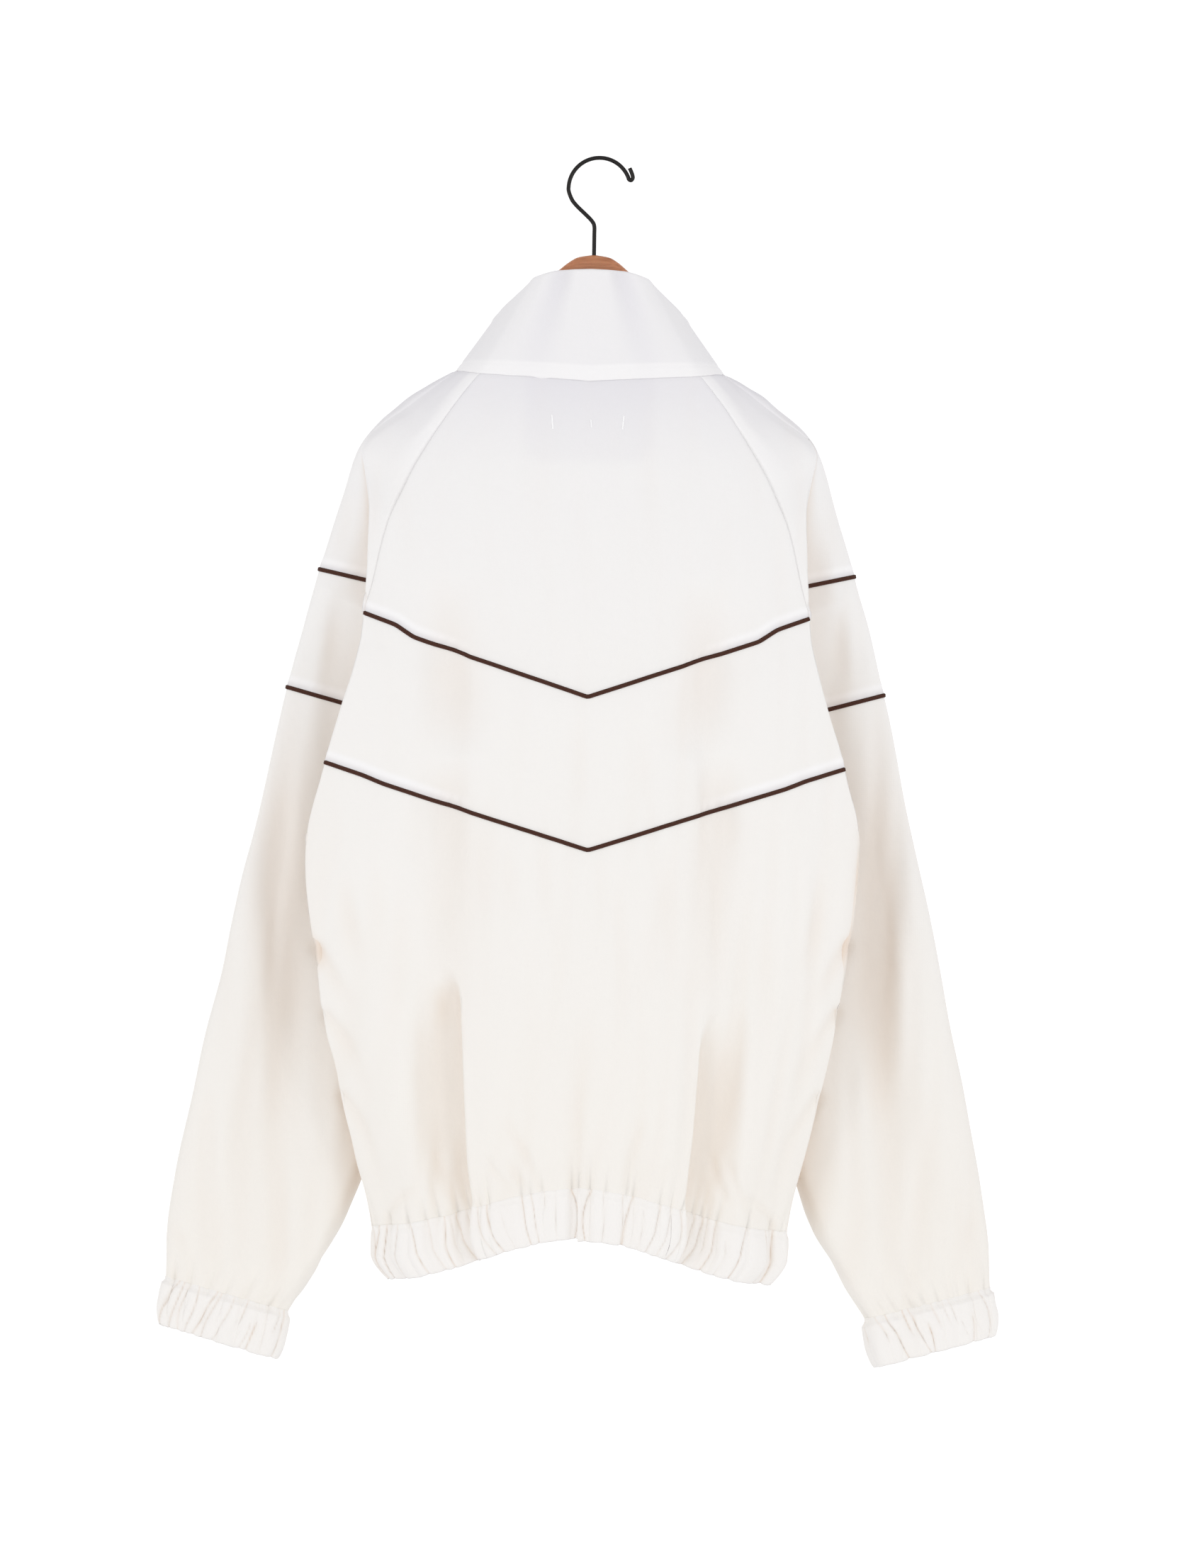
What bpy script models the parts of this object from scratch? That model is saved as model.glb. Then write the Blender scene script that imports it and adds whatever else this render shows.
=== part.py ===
"""Track jacket with raglan sleeves, zipped shut and hung on a wooden hanger.

The frame is metres, +Z up. The origin is the point inside the top of the hook where a rail bears. The jacket's
back faces -Y and its zip faces +Y, with x = 0 at centre back. The tables below are in millimetres.

The jacket is one net of points on the outside of the cloth. Its rows run round the body or the sleeve, from the
neck down, and its columns run from centre back round the side to the zip. Each cut piece is a patch of that net
with a wall behind it, so two pieces that are sewn together share one line of points and one set of normals.
"""
import math

import bmesh
import bpy
import numpy as np

MM = 0.001

# Cloth and seams
CLOTH = 1.5            # wall of the shell cloth
COLLAR_CLOTH = 2.0     # two plies
BAND_CLOTH = 2.2       # casing folded over its elastic
SEAM_GAP = 0.3         # between the walls of two pieces sewn together
UNDERARM_GAP = 0.8     # and where four of them fold together under the arm
UNDERARM_FACING = (-.25, -.1, -.96)
PIPING_WIDTH = 3.4
PIPING_HEIGHT = 2.2
PIPING_END = 2.4       # a piping stops this far short of a seam that it meets
PIPING_TUCK = 9.0      # and this far where it runs down into the front of the armhole

# Zip and hanger
ZIP_REVEAL = 3.2       # half of the gap between the two front edges
TAPE_WIDTH = 13.0
TAPE_CLOTH = 0.9
SLIDER_WIDTH = 5.6
SLIDER_HEIGHT = 11.0
SLIDER_THICK = 2.6
SLIDER_CLEAR = 0.3
CROWN_WIDTH = 2.0
CROWN_LENGTH = 8.0
CROWN_GAP = 2.4
PIN_RADIUS = 0.6
PULL_WIDTH = 6.0
PULL_LENGTH = 30.0
PULL_THICK = 1.2
PULL_HEAD = 0.7          # its arms end this far above the pin, short of the slider as they turn
WIRE = 3.4
HOOK_RADIUS = 25.3     # to the middle of the wire
HOOK_OFFSET = 4.6      # middle of the hook's bow, right of its stem
WOOD_TOP = -77.7

# Strips of quads down each stretch of the net
YOKE_STRIPS = 9
ARMHOLE_STRIPS = 2
CHEST_STRIPS = 4
SKIRT_STRIPS = 9
ARM_STRIPS = 3
FOREARM_STRIPS = 9

# Columns across the pieces, as shares of their width
BACK_SHARES = (0, .14, .28, .39, .455, .515, .60, .69, .77, .85, .93, 1)
SIDE_SHARES = (0, .5, 1)
FRONT_SHARES = (0, .08, .17, .27, .38, .5, .62, .74, .86, 1)
FACE_SHARES = (0, .22, .42, .62, .8, .93, 1)
SLEEVE_OUTER = 10      # column of the upper sleeve's outer edge, counted from the raglan seam
BEND_SHARES = (0, .5, 1)

# Gathers in the elastic, from centre back to the zip and round a cuff
BAND_GATHERS = 22
CUFF_GATHERS = 18
GATHER_DEPTH = 1.7
GATHER_HOLLOW = -0.3   # of that depth
GATHER_UNEVEN = 0.34
ZIP_FLAT = (4, 18)     # the hem band's gathers fade out between these distances from the zip

# Other settings of the trim
BAND_FALL = (40, 43)   # height of the hem band at centre back and at its sides
CUFF_FALL = (5.0, 1.0, -38.5)
COLLAR_SWELL = 5.0
COLLAR_TROUGH = 5.0
COLLAR_COLUMNS = (6, 3, 3, 6)
SLIDER_DROP = 25.0     # below the collar's top edge


def table(columns, *rows):
    """Named columns of a table, each an array down its rows."""
    cells = np.array(rows, float)
    return {name: cells[:, i] for i, name in enumerate(columns.split())}


# The yoke, by station from the neck seam (0) to the upper piping (1)
# Seams: centre back, raglan seam behind, raglan seam in front, centre front
YOKE = table(
    "at    zc    yc     xr     yr     zr      xf    yf    zf    zn    yn",
    (0.00, -182, -46.0, 90.7, -35.0, -176.6, 86, 40, -196, -232, 68.0),
    (.207, -235, -52.0, 117.7, -34.0, -213.0, 112, 44, -226, -275, 75.0),
    (.495, -310, -62.0, 149.2, -36.0, -267.7, 134, 50, -284, -330, 80.0),
    (.689, -360, -67.0, 165.5, -38.5, -307.0, 146, 44, -328, -380, 83.0),
    (.900, -414, -71.5, 176.4, -41.0, -352.0, 150, 30, -360, -425, 84.5),
    (1.00, -440, -74.0, 183.0, -42.0, -373.0, 151, 20, -374, -447, 85.0))

# The body below, by station: upper piping (1), armhole (2), lower piping (3) and on to the hem seam (7)
# e is the fold at the back's edge, s the side seam, n the hollow the sleeve lies in, b the turn of the front
BODY = table(
    "at  zc    yc     xe     ye   ze      xs     ys    zs     xn   yn  xb   yb  zn    yn0  round jog",
    (1, -440, -74.0, 183.0, -42, -373.0, 183.0, -42, -373.0, 140, 34, 112, 58, -447, 85, 0, .068),
    (2, -457, -75.5, 185.0, -44, -392.0, 150.0, 5, -388.0, 139, 24, 116, 58, -462, 85, .05, .05),
    (2.3, -488, -77.0, 191.0, -47, -418.0, 168.0, -16, -416.0, 134, 6, 114, 59, -492, 85.5, .02, .04),
    (3, -564, -82.0, 212.6, -46, -495.0, 206.0, -34, -497.0, 126, 1, 110, 60, -578, 86, 0, .02),
    (4, -650, -86.0, 229.0, -41, -572.0, 221.0, -29, -574.0, 125, 0, 108, 60, -655, 86, .3, 0),
    (5, -740, -88.0, 212.0, -34, -694.0, 204.0, -22, -696.0, 131, 8, 112, 62, -745, 84, .6, 0),
    (6, -800, -84.0, 189.0, -24, -796.0, 183.0, -11, -797.0, 148, 24, 116, 64, -792, 79, .9, 0),
    (7, -840, -74.0, 168.0, -12, -874.0, 167.0, 3, -874.0, 155, 34, 118, 62, -833, 70, 1, 0))

# The sleeve, by station: the yoke's own, then armhole (2), lower piping (3) and on to the cuff seam (7)
# e is the fold at the back's edge and below it the underarm seam, v the valley behind, s the outer edge,
# i the inner fold in front, f the front seam
SLEEVE = table(
    "at     xe   ye   ze    xv   yv   zv    xs     ys   zs    xi   yi   zi    trough",
    (0.00, 104, -20, -174.5, 108, -11, -174, 111.0, 0, -174.0, 103, 22, -181, 0),
    (.207, 136, -17, -203.5, 142, -9, -199.5, 147.5, 3, -196.0, 138, 26, -206, 0),
    (.495, 184, -17, -245.0, 186, -9, -241.5, 189.0, 8, -239.0, 174, 35, -252, 0),
    (.689, 180, -33, -291.0, 169, -12, -284.0, 200.7, 14, -275.5, 172, 48, -293, 0),
    (.900, 181.5, -40, -347.0, 154, -3, -332.0, 213.4, 19, -317.0, 165, 54, -335, 1),
    (1.00, 183, -42, -373.0, 150, 0, -352.0, 219.8, 22, -337.0, 161, 56, -354, 2),
    (1.50, 168, -20, -381.0, 163, 0, -377.0, 223.4, 24, -350.0, 157, 57, -368, 2),
    (2.00, 150, 5, -388.0, 160, 3, -386.0, 227.0, 26, -363.0, 154, 58, -382, 3),
    (2.30, 147, 17, -410.0, 156.5, 9, -408.0, 232.6, 29, -384.0, 153, 62, -406, 4),
    (3.00, 141, 33, -462.0, 150, 15, -460.0, 245.7, 34, -434.0, 150, 68, -460, 6),
    (4.00, 134, 40, -591.0, 145, 14, -588.0, 273.5, 40, -559.0, 146, 76, -588, 12),
    (5.00, 148, 40, -735.0, 158, 15, -732.0, 304.0, 42, -699.0, 160, 75, -732, 11),
    (6.00, 190, 40, -868.0, 200, 15, -866.0, 331.0, 42, -838.0, 202, 70, -866, 6),
    (6.50, 216, 40, -915.0, 224, 16, -913.0, 338.0, 41, -890.0, 226, 66, -913, 3),
    (7.00, 237.6, 40, -946.0, 246, 22, -944.0, 337.6, 40, -920.0, 247, 60, -944, 0))

# Folds down the back, by height at centre back: place as a share of the half width, and depth
BACK_FOLD = table(
    "z    place depth lobe",
    (-840, .515, 14, 4),
    (-810, .515, 24, 7),
    (-760, .515, 24, 7),
    (-680, .52, 14, 4),
    (-600, .53, 8, 2),
    (-470, .54, 5, 1),
    (-360, .56, 0, 0),
    (-182, .56, 0, 0))
FOLD_INSIDE = .075     # the fold's steep side, towards centre back
FOLD_OUTSIDE = .19
LOBE_PLACE = .78

# Rows of the gathered bands: share of their height, how far drawn in, and share of the gathers' depth
BAND_ROWS = ((0, 1, .35), (.32, 1, 1), (.7, .98, 1), (1, .93, .8))
CUFF_ROWS = ((.004, 1, .3), (.3, 1, 1), (.7, .97, 1), (1, .89, .8))

# The top edge of the collar, from centre back to the zip
COLLAR_TOP = table(
    "at   x    y    z",
    (0, 0, -52, -89),
    (.6, 27, -51, -90),
    (1, 47, -36, -96),
    (2, 74, 2, -123),
    (3, 82, 38, -135),
    (4, ZIP_REVEAL, 70, -142))

# The ridge of the shoulder over the wood, and the wood's own top between the collar's sides
SHOULDER = table(
    "x      top    half_thick half_height",
    (0, WOOD_TOP, 7, 24),
    (14, -79.5, 7, 24),
    (28, -88.0, 7, 23),
    (46, -106, 7, 21),
    (70, -134, 7.5, 18),
    (92, -160, 8, 16),
    (111, -180, 9, 14),
    (147, -201, 12, 12),
    (170, -220, 15, 11),
    (183, -238.0, 14, 9))


def unit(vectors):
    """The same vectors, each of length one."""
    return vectors / np.linalg.norm(vectors, axis=-1, keepdims=True)


def smooth(at, values, x):
    """A cubic through the stations that keeps their highs and lows."""
    at, values = np.asarray(at, float), np.asarray(values, float)
    step = np.diff(at)
    slope = np.diff(values) / step
    tangent = np.empty_like(values)
    tangent[0], tangent[-1] = slope[0], slope[-1]
    for k in range(1, len(at) - 1):
        if slope[k - 1] * slope[k] <= 0:
            tangent[k] = 0
        else:
            a = 2 * step[k] + step[k - 1]
            b = step[k] + 2 * step[k - 1]
            tangent[k] = (a + b) / (a / slope[k - 1] + b / slope[k])
    k = int(np.clip(np.searchsorted(at, x) - 1, 0, len(at) - 2))
    t = (x - at[k]) / step[k]
    return (values[k] * (1 + 2 * t) * (1 - t) ** 2 + tangent[k] * step[k] * t * (1 - t) ** 2
            + values[k + 1] * t * t * (3 - 2 * t) + tangent[k + 1] * step[k] * t * t * (t - 1))


def read(sheet, x, *names):
    """The named columns of a table at one place along its first column."""
    first = next(iter(sheet))
    return [smooth(sheet[first], sheet[name], x) for name in names]


def point(sheet, x, letter):
    """The point that a table's three columns of one letter give."""
    return np.array(read(sheet, x, "x" + letter, "y" + letter, "z" + letter))


def curve_through(points, steps=10):
    """A smooth open line through points, as a close row of points."""
    points = [np.asarray(p, float) for p in points]
    ends = [2 * points[0] - points[1]] + points + [2 * points[-1] - points[-2]]
    line = [points[0]]
    for p0, p1, p2, p3 in zip(ends, ends[1:], ends[2:], ends[3:]):
        t1 = math.sqrt(np.linalg.norm(p1 - p0)) + 1e-9
        t2 = t1 + math.sqrt(np.linalg.norm(p2 - p1)) + 1e-9
        t3 = t2 + math.sqrt(np.linalg.norm(p3 - p2)) + 1e-9
        for k in range(1, steps + 1):
            t = t1 + (t2 - t1) * k / steps
            a1 = p0 + (p1 - p0) * t / t1
            a2 = p1 + (p2 - p1) * (t - t1) / (t2 - t1)
            a3 = p2 + (p3 - p2) * (t - t2) / (t3 - t2)
            b1 = a1 + (a2 - a1) * t / t2
            b2 = a2 + (a3 - a2) * (t - t1) / (t3 - t1)
            line.append(b1 + (b2 - b1) * (t - t1) / (t2 - t1))
    return np.array(line)


def share_out(line, shares, *others):
    """Points at shares of a line's length, and what runs with the line at the same places."""
    length = np.concatenate(([0], np.cumsum(np.linalg.norm(np.diff(line, axis=0), axis=1))))
    places = np.asarray(shares) * length[-1]
    out = []
    for values in (line,) + others:
        out.append(np.stack([np.interp(places, length, column) for column in np.asarray(values).T], axis=1))
    return out[0] if not others else out


def bump(x, centre, before, after):
    """A soft rise to 1 at its centre, with its own width on each side."""
    width = before if x < centre else after
    return 0.5 * (1 + math.cos(math.pi * min(1, abs(x - centre) / width)))


# Rows of the body's net

def back_depth(share, z_centre, y_centre, y_side, scale):
    """How far back the cloth lies at a share of the half width."""
    place, depth, lobe = read(BACK_FOLD, z_centre, "place", "depth", "lobe")
    along = share * scale
    y = y_centre + (y_side - y_centre) * share ** 2.2
    y += depth * bump(along, place, FOLD_INSIDE, FOLD_OUTSIDE)
    return y - lobe * bump(along, LOBE_PLACE, .2, .18) - 0.5 * lobe * bump(along, .38, .3, .08)


def chevron(share, jog):
    """How far up its V a piped seam has climbed, with the small jog that the seam has near the side."""
    if share < .77:
        return share - jog * share / .77
    return share - jog * max(0, 1 - (share - .77) / .08)


def back_row(at):
    """From centre back to the raglan seam, or to the fold at the back's edge."""
    if at < 1:
        zc, yc, xr, yr, zr = read(YOKE, at, "zc", "yc", "xr", "yr", "zr")
        jog, roundness = BODY["jog"][0] * at ** 3, 0
        scale = xr / smooth((0, .495, 1), (112, 184, 183), at)
    else:
        zc, yc, xr, yr, zr, jog, roundness = read(BODY, at, "zc", "yc", "xe", "ye", "ze", "jog", "round")
        scale = 1
    row = []
    for share in BACK_SHARES:
        climb = (1 - roundness) * chevron(share, jog) + roundness * share * share * (3 - 2 * share)
        row.append((share * xr, back_depth(share, zc, yc, yr, scale), zc + (zr - zc) * climb))
    return np.array(row)


def side_row(at):
    """From the fold at the back's edge round to the raglan or side seam."""
    fold, seam = point(BODY, at, "e"), point(BODY, at, "s")
    middle = (fold + seam) / 2 + np.array((1.5, 0, 0)) * min(1, at - 1)
    return np.array([fold, middle, seam])


def front_row(at):
    """From the raglan or side seam to the zip."""
    if at <= 1:
        seam = point(YOKE, at, "f")
        zn, yn = read(YOKE, at, "zn", "yn")
        flat = [(s * seam[0], seam[1] + (yn - seam[1]) * (1 - s ** 3)) for s in (1, .92, .76, .4)]
    else:
        seam = point(BODY, at, "s")
        xn, ynn, xb, yb, zn, yn = read(BODY, at, "xn", "yn", "xb", "yb", "zn", "yn0")
        notch, turn = np.array((xn, ynn)), np.array((xb, yb))
        flat = [seam[:2], notch, turn, (0.5 * xb, yn - 3.5)]
        if at > 2.2:
            flat.insert(1, (seam[:2] + notch) / 2 + (0, -1))
    flat.append((ZIP_REVEAL, yn))
    line = share_out(curve_through([np.array((x, y, 0)) for x, y in flat]), FRONT_SHARES)
    line[:, 2] = seam[2] + (zn - seam[2]) * np.array(FRONT_SHARES)
    return line


def sleeve_row(at):
    """From the fold at the back's edge, or the underarm seam, round the sleeve to the front seam."""
    valley, outer, inner = (point(SLEEVE, at, letter) for letter in "vsi")
    start = point(SLEEVE, at, "e")
    end = point(YOKE, at, "f") if at <= 1 else None
    if 1 < at < 2:
        blend = at - 1
        end = (1 - blend) * point(YOKE, 1, "f") + blend * point(SLEEVE, 2, "e")
    elif at >= 2:
        end = start
    trough = read(SLEEVE, at, "trough")[0]
    row = [start, (start + valley) / 2]
    if at > 2:
        row[1] = row[1] + np.array((-2.0, -3.0, 0)) * min(1, at - 2)
    for share in FACE_SHARES:
        p = valley + (outer - valley) * share
        p[1] = valley[1] + (outer[1] - valley[1]) * (1 - math.sqrt(1 - share ** 2))
        p[1] += trough * bump(share, .5, .34, .3)
        row.append(p)
    for share in FACE_SHARES[::-1][1:]:
        p = inner + (outer - inner) * share
        p[1] = inner[1] + (outer[1] - inner[1]) * (1 - math.sqrt(1 - share ** 2))
        row.append(p)
    middle = (inner + end) / 2
    if at > 2:
        middle = middle + np.array((-2.0, 3.0, 0)) * min(1, at - 2)
    row += [middle, end]
    return np.array(row)


def raglan_flap(at):
    """The strip of the sleeve that lies in the back, between the raglan seam and the fold."""
    seam, fold = point(YOKE, at, "r"), point(SLEEVE, at, "e")
    return np.array([seam + (fold - seam) * s for s in BEND_SHARES])


# The seam on the sleeve's side of the armhole, from the upper piping to the underarm
def armhole_row(at):
    """A sleeve row that starts where the raglan seam goes behind the back's edge."""
    row = sleeve_row(at)
    row[0] = point(BODY, at, "s")
    row[1] = (row[0] + row[2]) / 2
    return row


def stations(first, last, strips):
    return np.linspace(first, last, strips + 1)


yoke_at = stations(0, 1, YOKE_STRIPS)
armhole_at = stations(1, 2, ARMHOLE_STRIPS)
chest_at = np.concatenate((armhole_at, stations(2, 3, CHEST_STRIPS)[1:]))
skirt_at = stations(3, 7, SKIRT_STRIPS)
arm_at = stations(2, 3, ARM_STRIPS)
forearm_at = np.concatenate((stations(3, 6, FOREARM_STRIPS - 3), (6.33, 6.67, 7)))


def mirror(patch):
    """The same patch on the jacket's other side, with its columns still running the same way round."""
    return patch[:, ::-1] * np.array((-1, 1, 1))


def whole_back(half):
    """Both halves of the back from the half on the right."""
    return np.concatenate((mirror(half), half[:, 1:]), axis=1)


def back_and_side(at):
    """A row of the back with its turn round the fold."""
    return np.concatenate((back_row(at), side_row(at)[1:]))


right = {
    "front_upper": np.array([front_row(s) for s in yoke_at]),
    "front_middle": np.array([front_row(s) for s in chest_at]),
    "front_lower": np.array([front_row(s) for s in skirt_at]),
    "sleeve_upper": np.array([np.concatenate((raglan_flap(s), sleeve_row(s)[1:])) for s in yoke_at]),
    "sleeve_middle": np.array([armhole_row(s) for s in armhole_at]
                              + [sleeve_row(s) for s in arm_at[1:]]),
    "sleeve_lower": np.array([sleeve_row(s) for s in forearm_at]),
}
# The front's seam with the sleeve runs from the upper piping to the underarm on the sleeve's own points
for row, s in enumerate(armhole_at):
    seam = sleeve_row(s)[-1]
    old = right["front_middle"][row]
    fade = np.linspace(1, 0, len(old))[:, None] ** 2
    right["front_middle"][row] = old + (seam - old[0]) * fade
    right["sleeve_middle"][row][-1] = seam
right["front_upper"][-1] = right["front_middle"][0]

patches = {
    "back_upper": whole_back(np.array([back_row(s) for s in yoke_at])),
    "back_middle": whole_back(np.array([back_and_side(s) for s in chest_at])),
    "back_lower": whole_back(np.array([back_and_side(s) for s in skirt_at])),
}
for name, patch in right.items():
    patches[name + "_right"] = patch
    patches[name + "_left"] = mirror(patch)


def key(p):
    """What makes two points of the net the same point."""
    return tuple(np.round(p, 2) + 0.0)


def corner_normals(group):
    """Outward normals summed over every quad of a group that meets at a point."""
    total = {}
    for patch in group.values():
        for i in range(patch.shape[0] - 1):
            for j in range(patch.shape[1] - 1):
                corners = (patch[i, j], patch[i + 1, j], patch[i + 1, j + 1], patch[i, j + 1])
                normal = np.cross(corners[2] - corners[0], corners[3] - corners[1])
                for k in {key(p) for p in corners}:
                    total[k] = total.get(k, 0) + unit(normal)
    return total


# Pieces sewn together share their normals, but not round the underarm, where body and sleeve meet with
# their outsides facing each other
everywhere = corner_normals(patches)
of_sleeves = corner_normals({n: p for n, p in patches.items() if n.startswith("sleeve")})
of_body = corner_normals({n: p for n, p in patches.items() if not n.startswith("sleeve")})
underarm = {key(p * (side, 1, 1)) for row in range(ARMHOLE_STRIPS + 1) for side in (1, -1)
            for p in (right["sleeve_middle"][row][0], right["sleeve_middle"][row][-1])}


# At the underarm point itself the sleeve's wall lies on top, clear of the folds that meet there
for side in (1, -1):
    of_sleeves[key(point(SLEEVE, 2, "e") * (side, 1, 1))] = np.array(UNDERARM_FACING) * (side, 1, 1)


def normal_at(name, p):
    own = of_sleeves if name.startswith("sleeve") else of_body
    return unit(own[key(p)] if key(p) in underarm else everywhere[key(p)])


normals = {name: np.array([[normal_at(name, p) for p in row] for row in patch]) for name, patch in patches.items()}


# From a patch to a wall of cloth

def pulled_back(patch):
    """The patch with its four edges drawn in, so that it stays clear of what it is sewn to."""
    out = patch.copy()
    rows, columns = patch.shape[:2]
    lines = [[(i, j) for i in range(rows)] for j in range(columns)]
    lines += [[(i, j) for j in range(columns)] for i in range(rows)]
    for line in lines:
        for way in (line, line[::-1]):
            edge = patch[way[0]]
            inward = next((patch[k] - edge for k in way if np.linalg.norm(patch[k] - edge) > 1e-6))
            gap = UNDERARM_GAP if key(edge) in underarm else SEAM_GAP
            out[way[0]] = out[way[0]] + unit(inward) * gap / 2
    # Points of a row that were one point are one point again
    for i in range(rows):
        first = 0
        for j in range(1, columns + 1):
            if j == columns or np.linalg.norm(patch[i, j] - patch[i, first]) > 1e-6:
                out[i, first:j] = out[i, first:j].mean(axis=0)
                first = j
    return out


jacket = bpy.data.collections.new("track_jacket")


def clear_scene():
    for old in list(bpy.data.objects):
        bpy.data.objects.remove(old, do_unlink=True)
    bpy.context.scene.collection.children.link(jacket)


def material(name, colour, roughness, metallic=0.0):
    made = bpy.data.materials.new(name)
    made.use_nodes = True
    shader = made.node_tree.nodes["Principled BSDF"]
    shader.inputs["Base Color"].default_value = (*colour, 1)
    shader.inputs["Roughness"].default_value = roughness
    shader.inputs["Metallic"].default_value = metallic
    made.diffuse_color = (*colour, 1)
    return made


def add_mesh(name, bm, finish):
    """A named object of the jacket from a mesh in millimetres."""
    bmesh.ops.scale(bm, vec=(MM, MM, MM), verts=bm.verts)
    mesh = bpy.data.meshes.new(name)
    bm.to_mesh(mesh)
    bm.free()
    mesh.materials.append(finish)
    made = bpy.data.objects.new(name, mesh)
    jacket.objects.link(made)
    return made


def wall(name, outer, inner, finish, ring=False):
    """A closed wall between an outer and an inner grid of points; a ring also joins its two ends."""
    bm = bmesh.new()
    rows, columns = outer.shape[:2]
    outside = [[bm.verts.new(p) for p in row] for row in outer]
    inside = [[bm.verts.new(p) for p in row] for row in inner]
    last = columns if ring else columns - 1
    for i in range(rows - 1):
        for j in range(last):
            k = (j + 1) % columns
            bm.faces.new((outside[i][j], outside[i + 1][j], outside[i + 1][k], outside[i][k]))
            bm.faces.new((inside[i][j], inside[i][k], inside[i + 1][k], inside[i + 1][j]))
    for j in range(last):
        k = (j + 1) % columns
        bm.faces.new((outside[0][j], outside[0][k], inside[0][k], inside[0][j]))
        bm.faces.new((outside[-1][j], inside[-1][j], inside[-1][k], outside[-1][k]))
    if not ring:
        for i in range(rows - 1):
            bm.faces.new((outside[i][0], inside[i][0], inside[i + 1][0], outside[i + 1][0]))
            bm.faces.new((outside[i][-1], outside[i + 1][-1], inside[i + 1][-1], inside[i][-1]))
    bmesh.ops.remove_doubles(bm, verts=bm.verts, dist=0.004)
    bmesh.ops.dissolve_degenerate(bm, edges=bm.edges, dist=0.002)
    bmesh.ops.triangulate(bm, faces=bm.faces, quad_method="SHORT_EDGE")
    return add_mesh(name, bm, finish)


clear_scene()
SHELL = material("coated_cotton", (0.84, 0.84, 0.84), 0.7)
PIPING = material("piping_brown", (0.07, 0.04, 0.03), 0.6)
TAPE = material("zip_tape", (0.8, 0.8, 0.8), 0.8)
METAL = material("zip_metal", (0.45, 0.44, 0.42), 0.35, 1.0)
WOOD = material("hanger_wood", (0.52, 0.20, 0.10), 0.5)
WIRE_BLACK = material("hook_black", (0.03, 0.025, 0.02), 0.35, 1.0)

for name, patch in patches.items():
    drawn = pulled_back(patch)
    lining = drawn - normals[name] * CLOTH
    if name.startswith("sleeve_upper"):
        # the narrow flap is straight inside, between its seam and its fold
        near, mid, far = (0, 1, 2) if name.endswith("right") else (-1, -2, -3)
        lining[:, mid] = (lining[:, near] + lining[:, far]) / 2
    wall(name, drawn, lining, SHELL)


# Gathered bands: the hem band in two halves, and the cuffs

def gather_shares(count):
    """Shares along an edge, two for each gather, as unevenly spaced as gathers on elastic are."""
    k = np.arange(2 * count)
    widths = 1 + GATHER_UNEVEN * (0.6 * np.sin(2.4 * k + 0.7) + 0.4 * np.sin(5.3 * k))
    return np.concatenate(([0], np.cumsum(widths))) / widths.sum()


def gather_heights(columns):
    """How far each column of a gathered band stands out, hollow and ridge in turn."""
    k = np.arange(columns)
    return GATHER_DEPTH * np.where(k % 2 == 0, GATHER_HOLLOW, 1.0) * (1 + 0.25 * np.sin(1.9 * k))


def hem_band():
    """The right half of the hem band, from its centre back seam to the zip."""
    half = patches["back_lower"].shape[1] // 2
    edge = np.concatenate((patches["back_lower"][-1][half:], patches["front_lower_right"][-1][1:]))
    facing = np.concatenate((normals["back_lower"][-1][half:], normals["front_lower_right"][-1][1:]))
    line, way = share_out(edge, gather_shares(BAND_GATHERS), facing)
    way = unit(way)
    heights = gather_heights(len(line)) * np.clip((line[:, 0] - ZIP_FLAT[0]) / (ZIP_FLAT[1] - ZIP_FLAT[0]), 0, 1)
    side = np.clip(line[:, 0] / line[:, 0].max(), 0, 1)
    fall = BAND_FALL[0] + (BAND_FALL[1] - BAND_FALL[0]) * side
    rows = []
    for down, draw, swell in BAND_ROWS:
        row = line * np.array((draw, (1 + draw) / 2, 1))
        row[:, 0] = np.where(line[:, 0] < ZIP_FLAT[1], line[:, 0], row[:, 0])
        row[:, 2] = line[:, 2] - fall * down
        rows.append(row + way * (heights * swell)[:, None])
    return np.array(rows), np.array([way] * len(rows))


band, band_facing = hem_band()
band[0, :, 2] -= SEAM_GAP / 2
band[:, 0, 0] += SEAM_GAP / 2
band_inner = band - band_facing * BAND_CLOTH
wall("hem_band_right", band, band_inner, SHELL)
wall("hem_band_left", mirror(band), mirror(band_inner), SHELL)


def cuff():
    """The right cuff, a ring of gathers below the sleeve's last row."""
    edge = patches["sleeve_lower_right"][-1]
    line, way = share_out(edge, gather_shares(CUFF_GATHERS)[:-1], normals["sleeve_lower_right"][-1])
    way = unit(way)
    centre = edge.mean(axis=0)
    rows = []
    for down, draw, swell in CUFF_ROWS:
        row = centre + (line - centre) * draw + np.array(CUFF_FALL) * down
        rows.append(row + way * (gather_heights(len(line)) * swell)[:, None])
    return np.array(rows), np.array([way] * len(rows))


ring, ring_facing = cuff()
ring_inner = ring - ring_facing * BAND_CLOTH
wall("cuff_right", ring, ring_inner, SHELL, ring=True)
wall("cuff_left", mirror(ring), mirror(ring_inner), SHELL, ring=True)


# Collar

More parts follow.
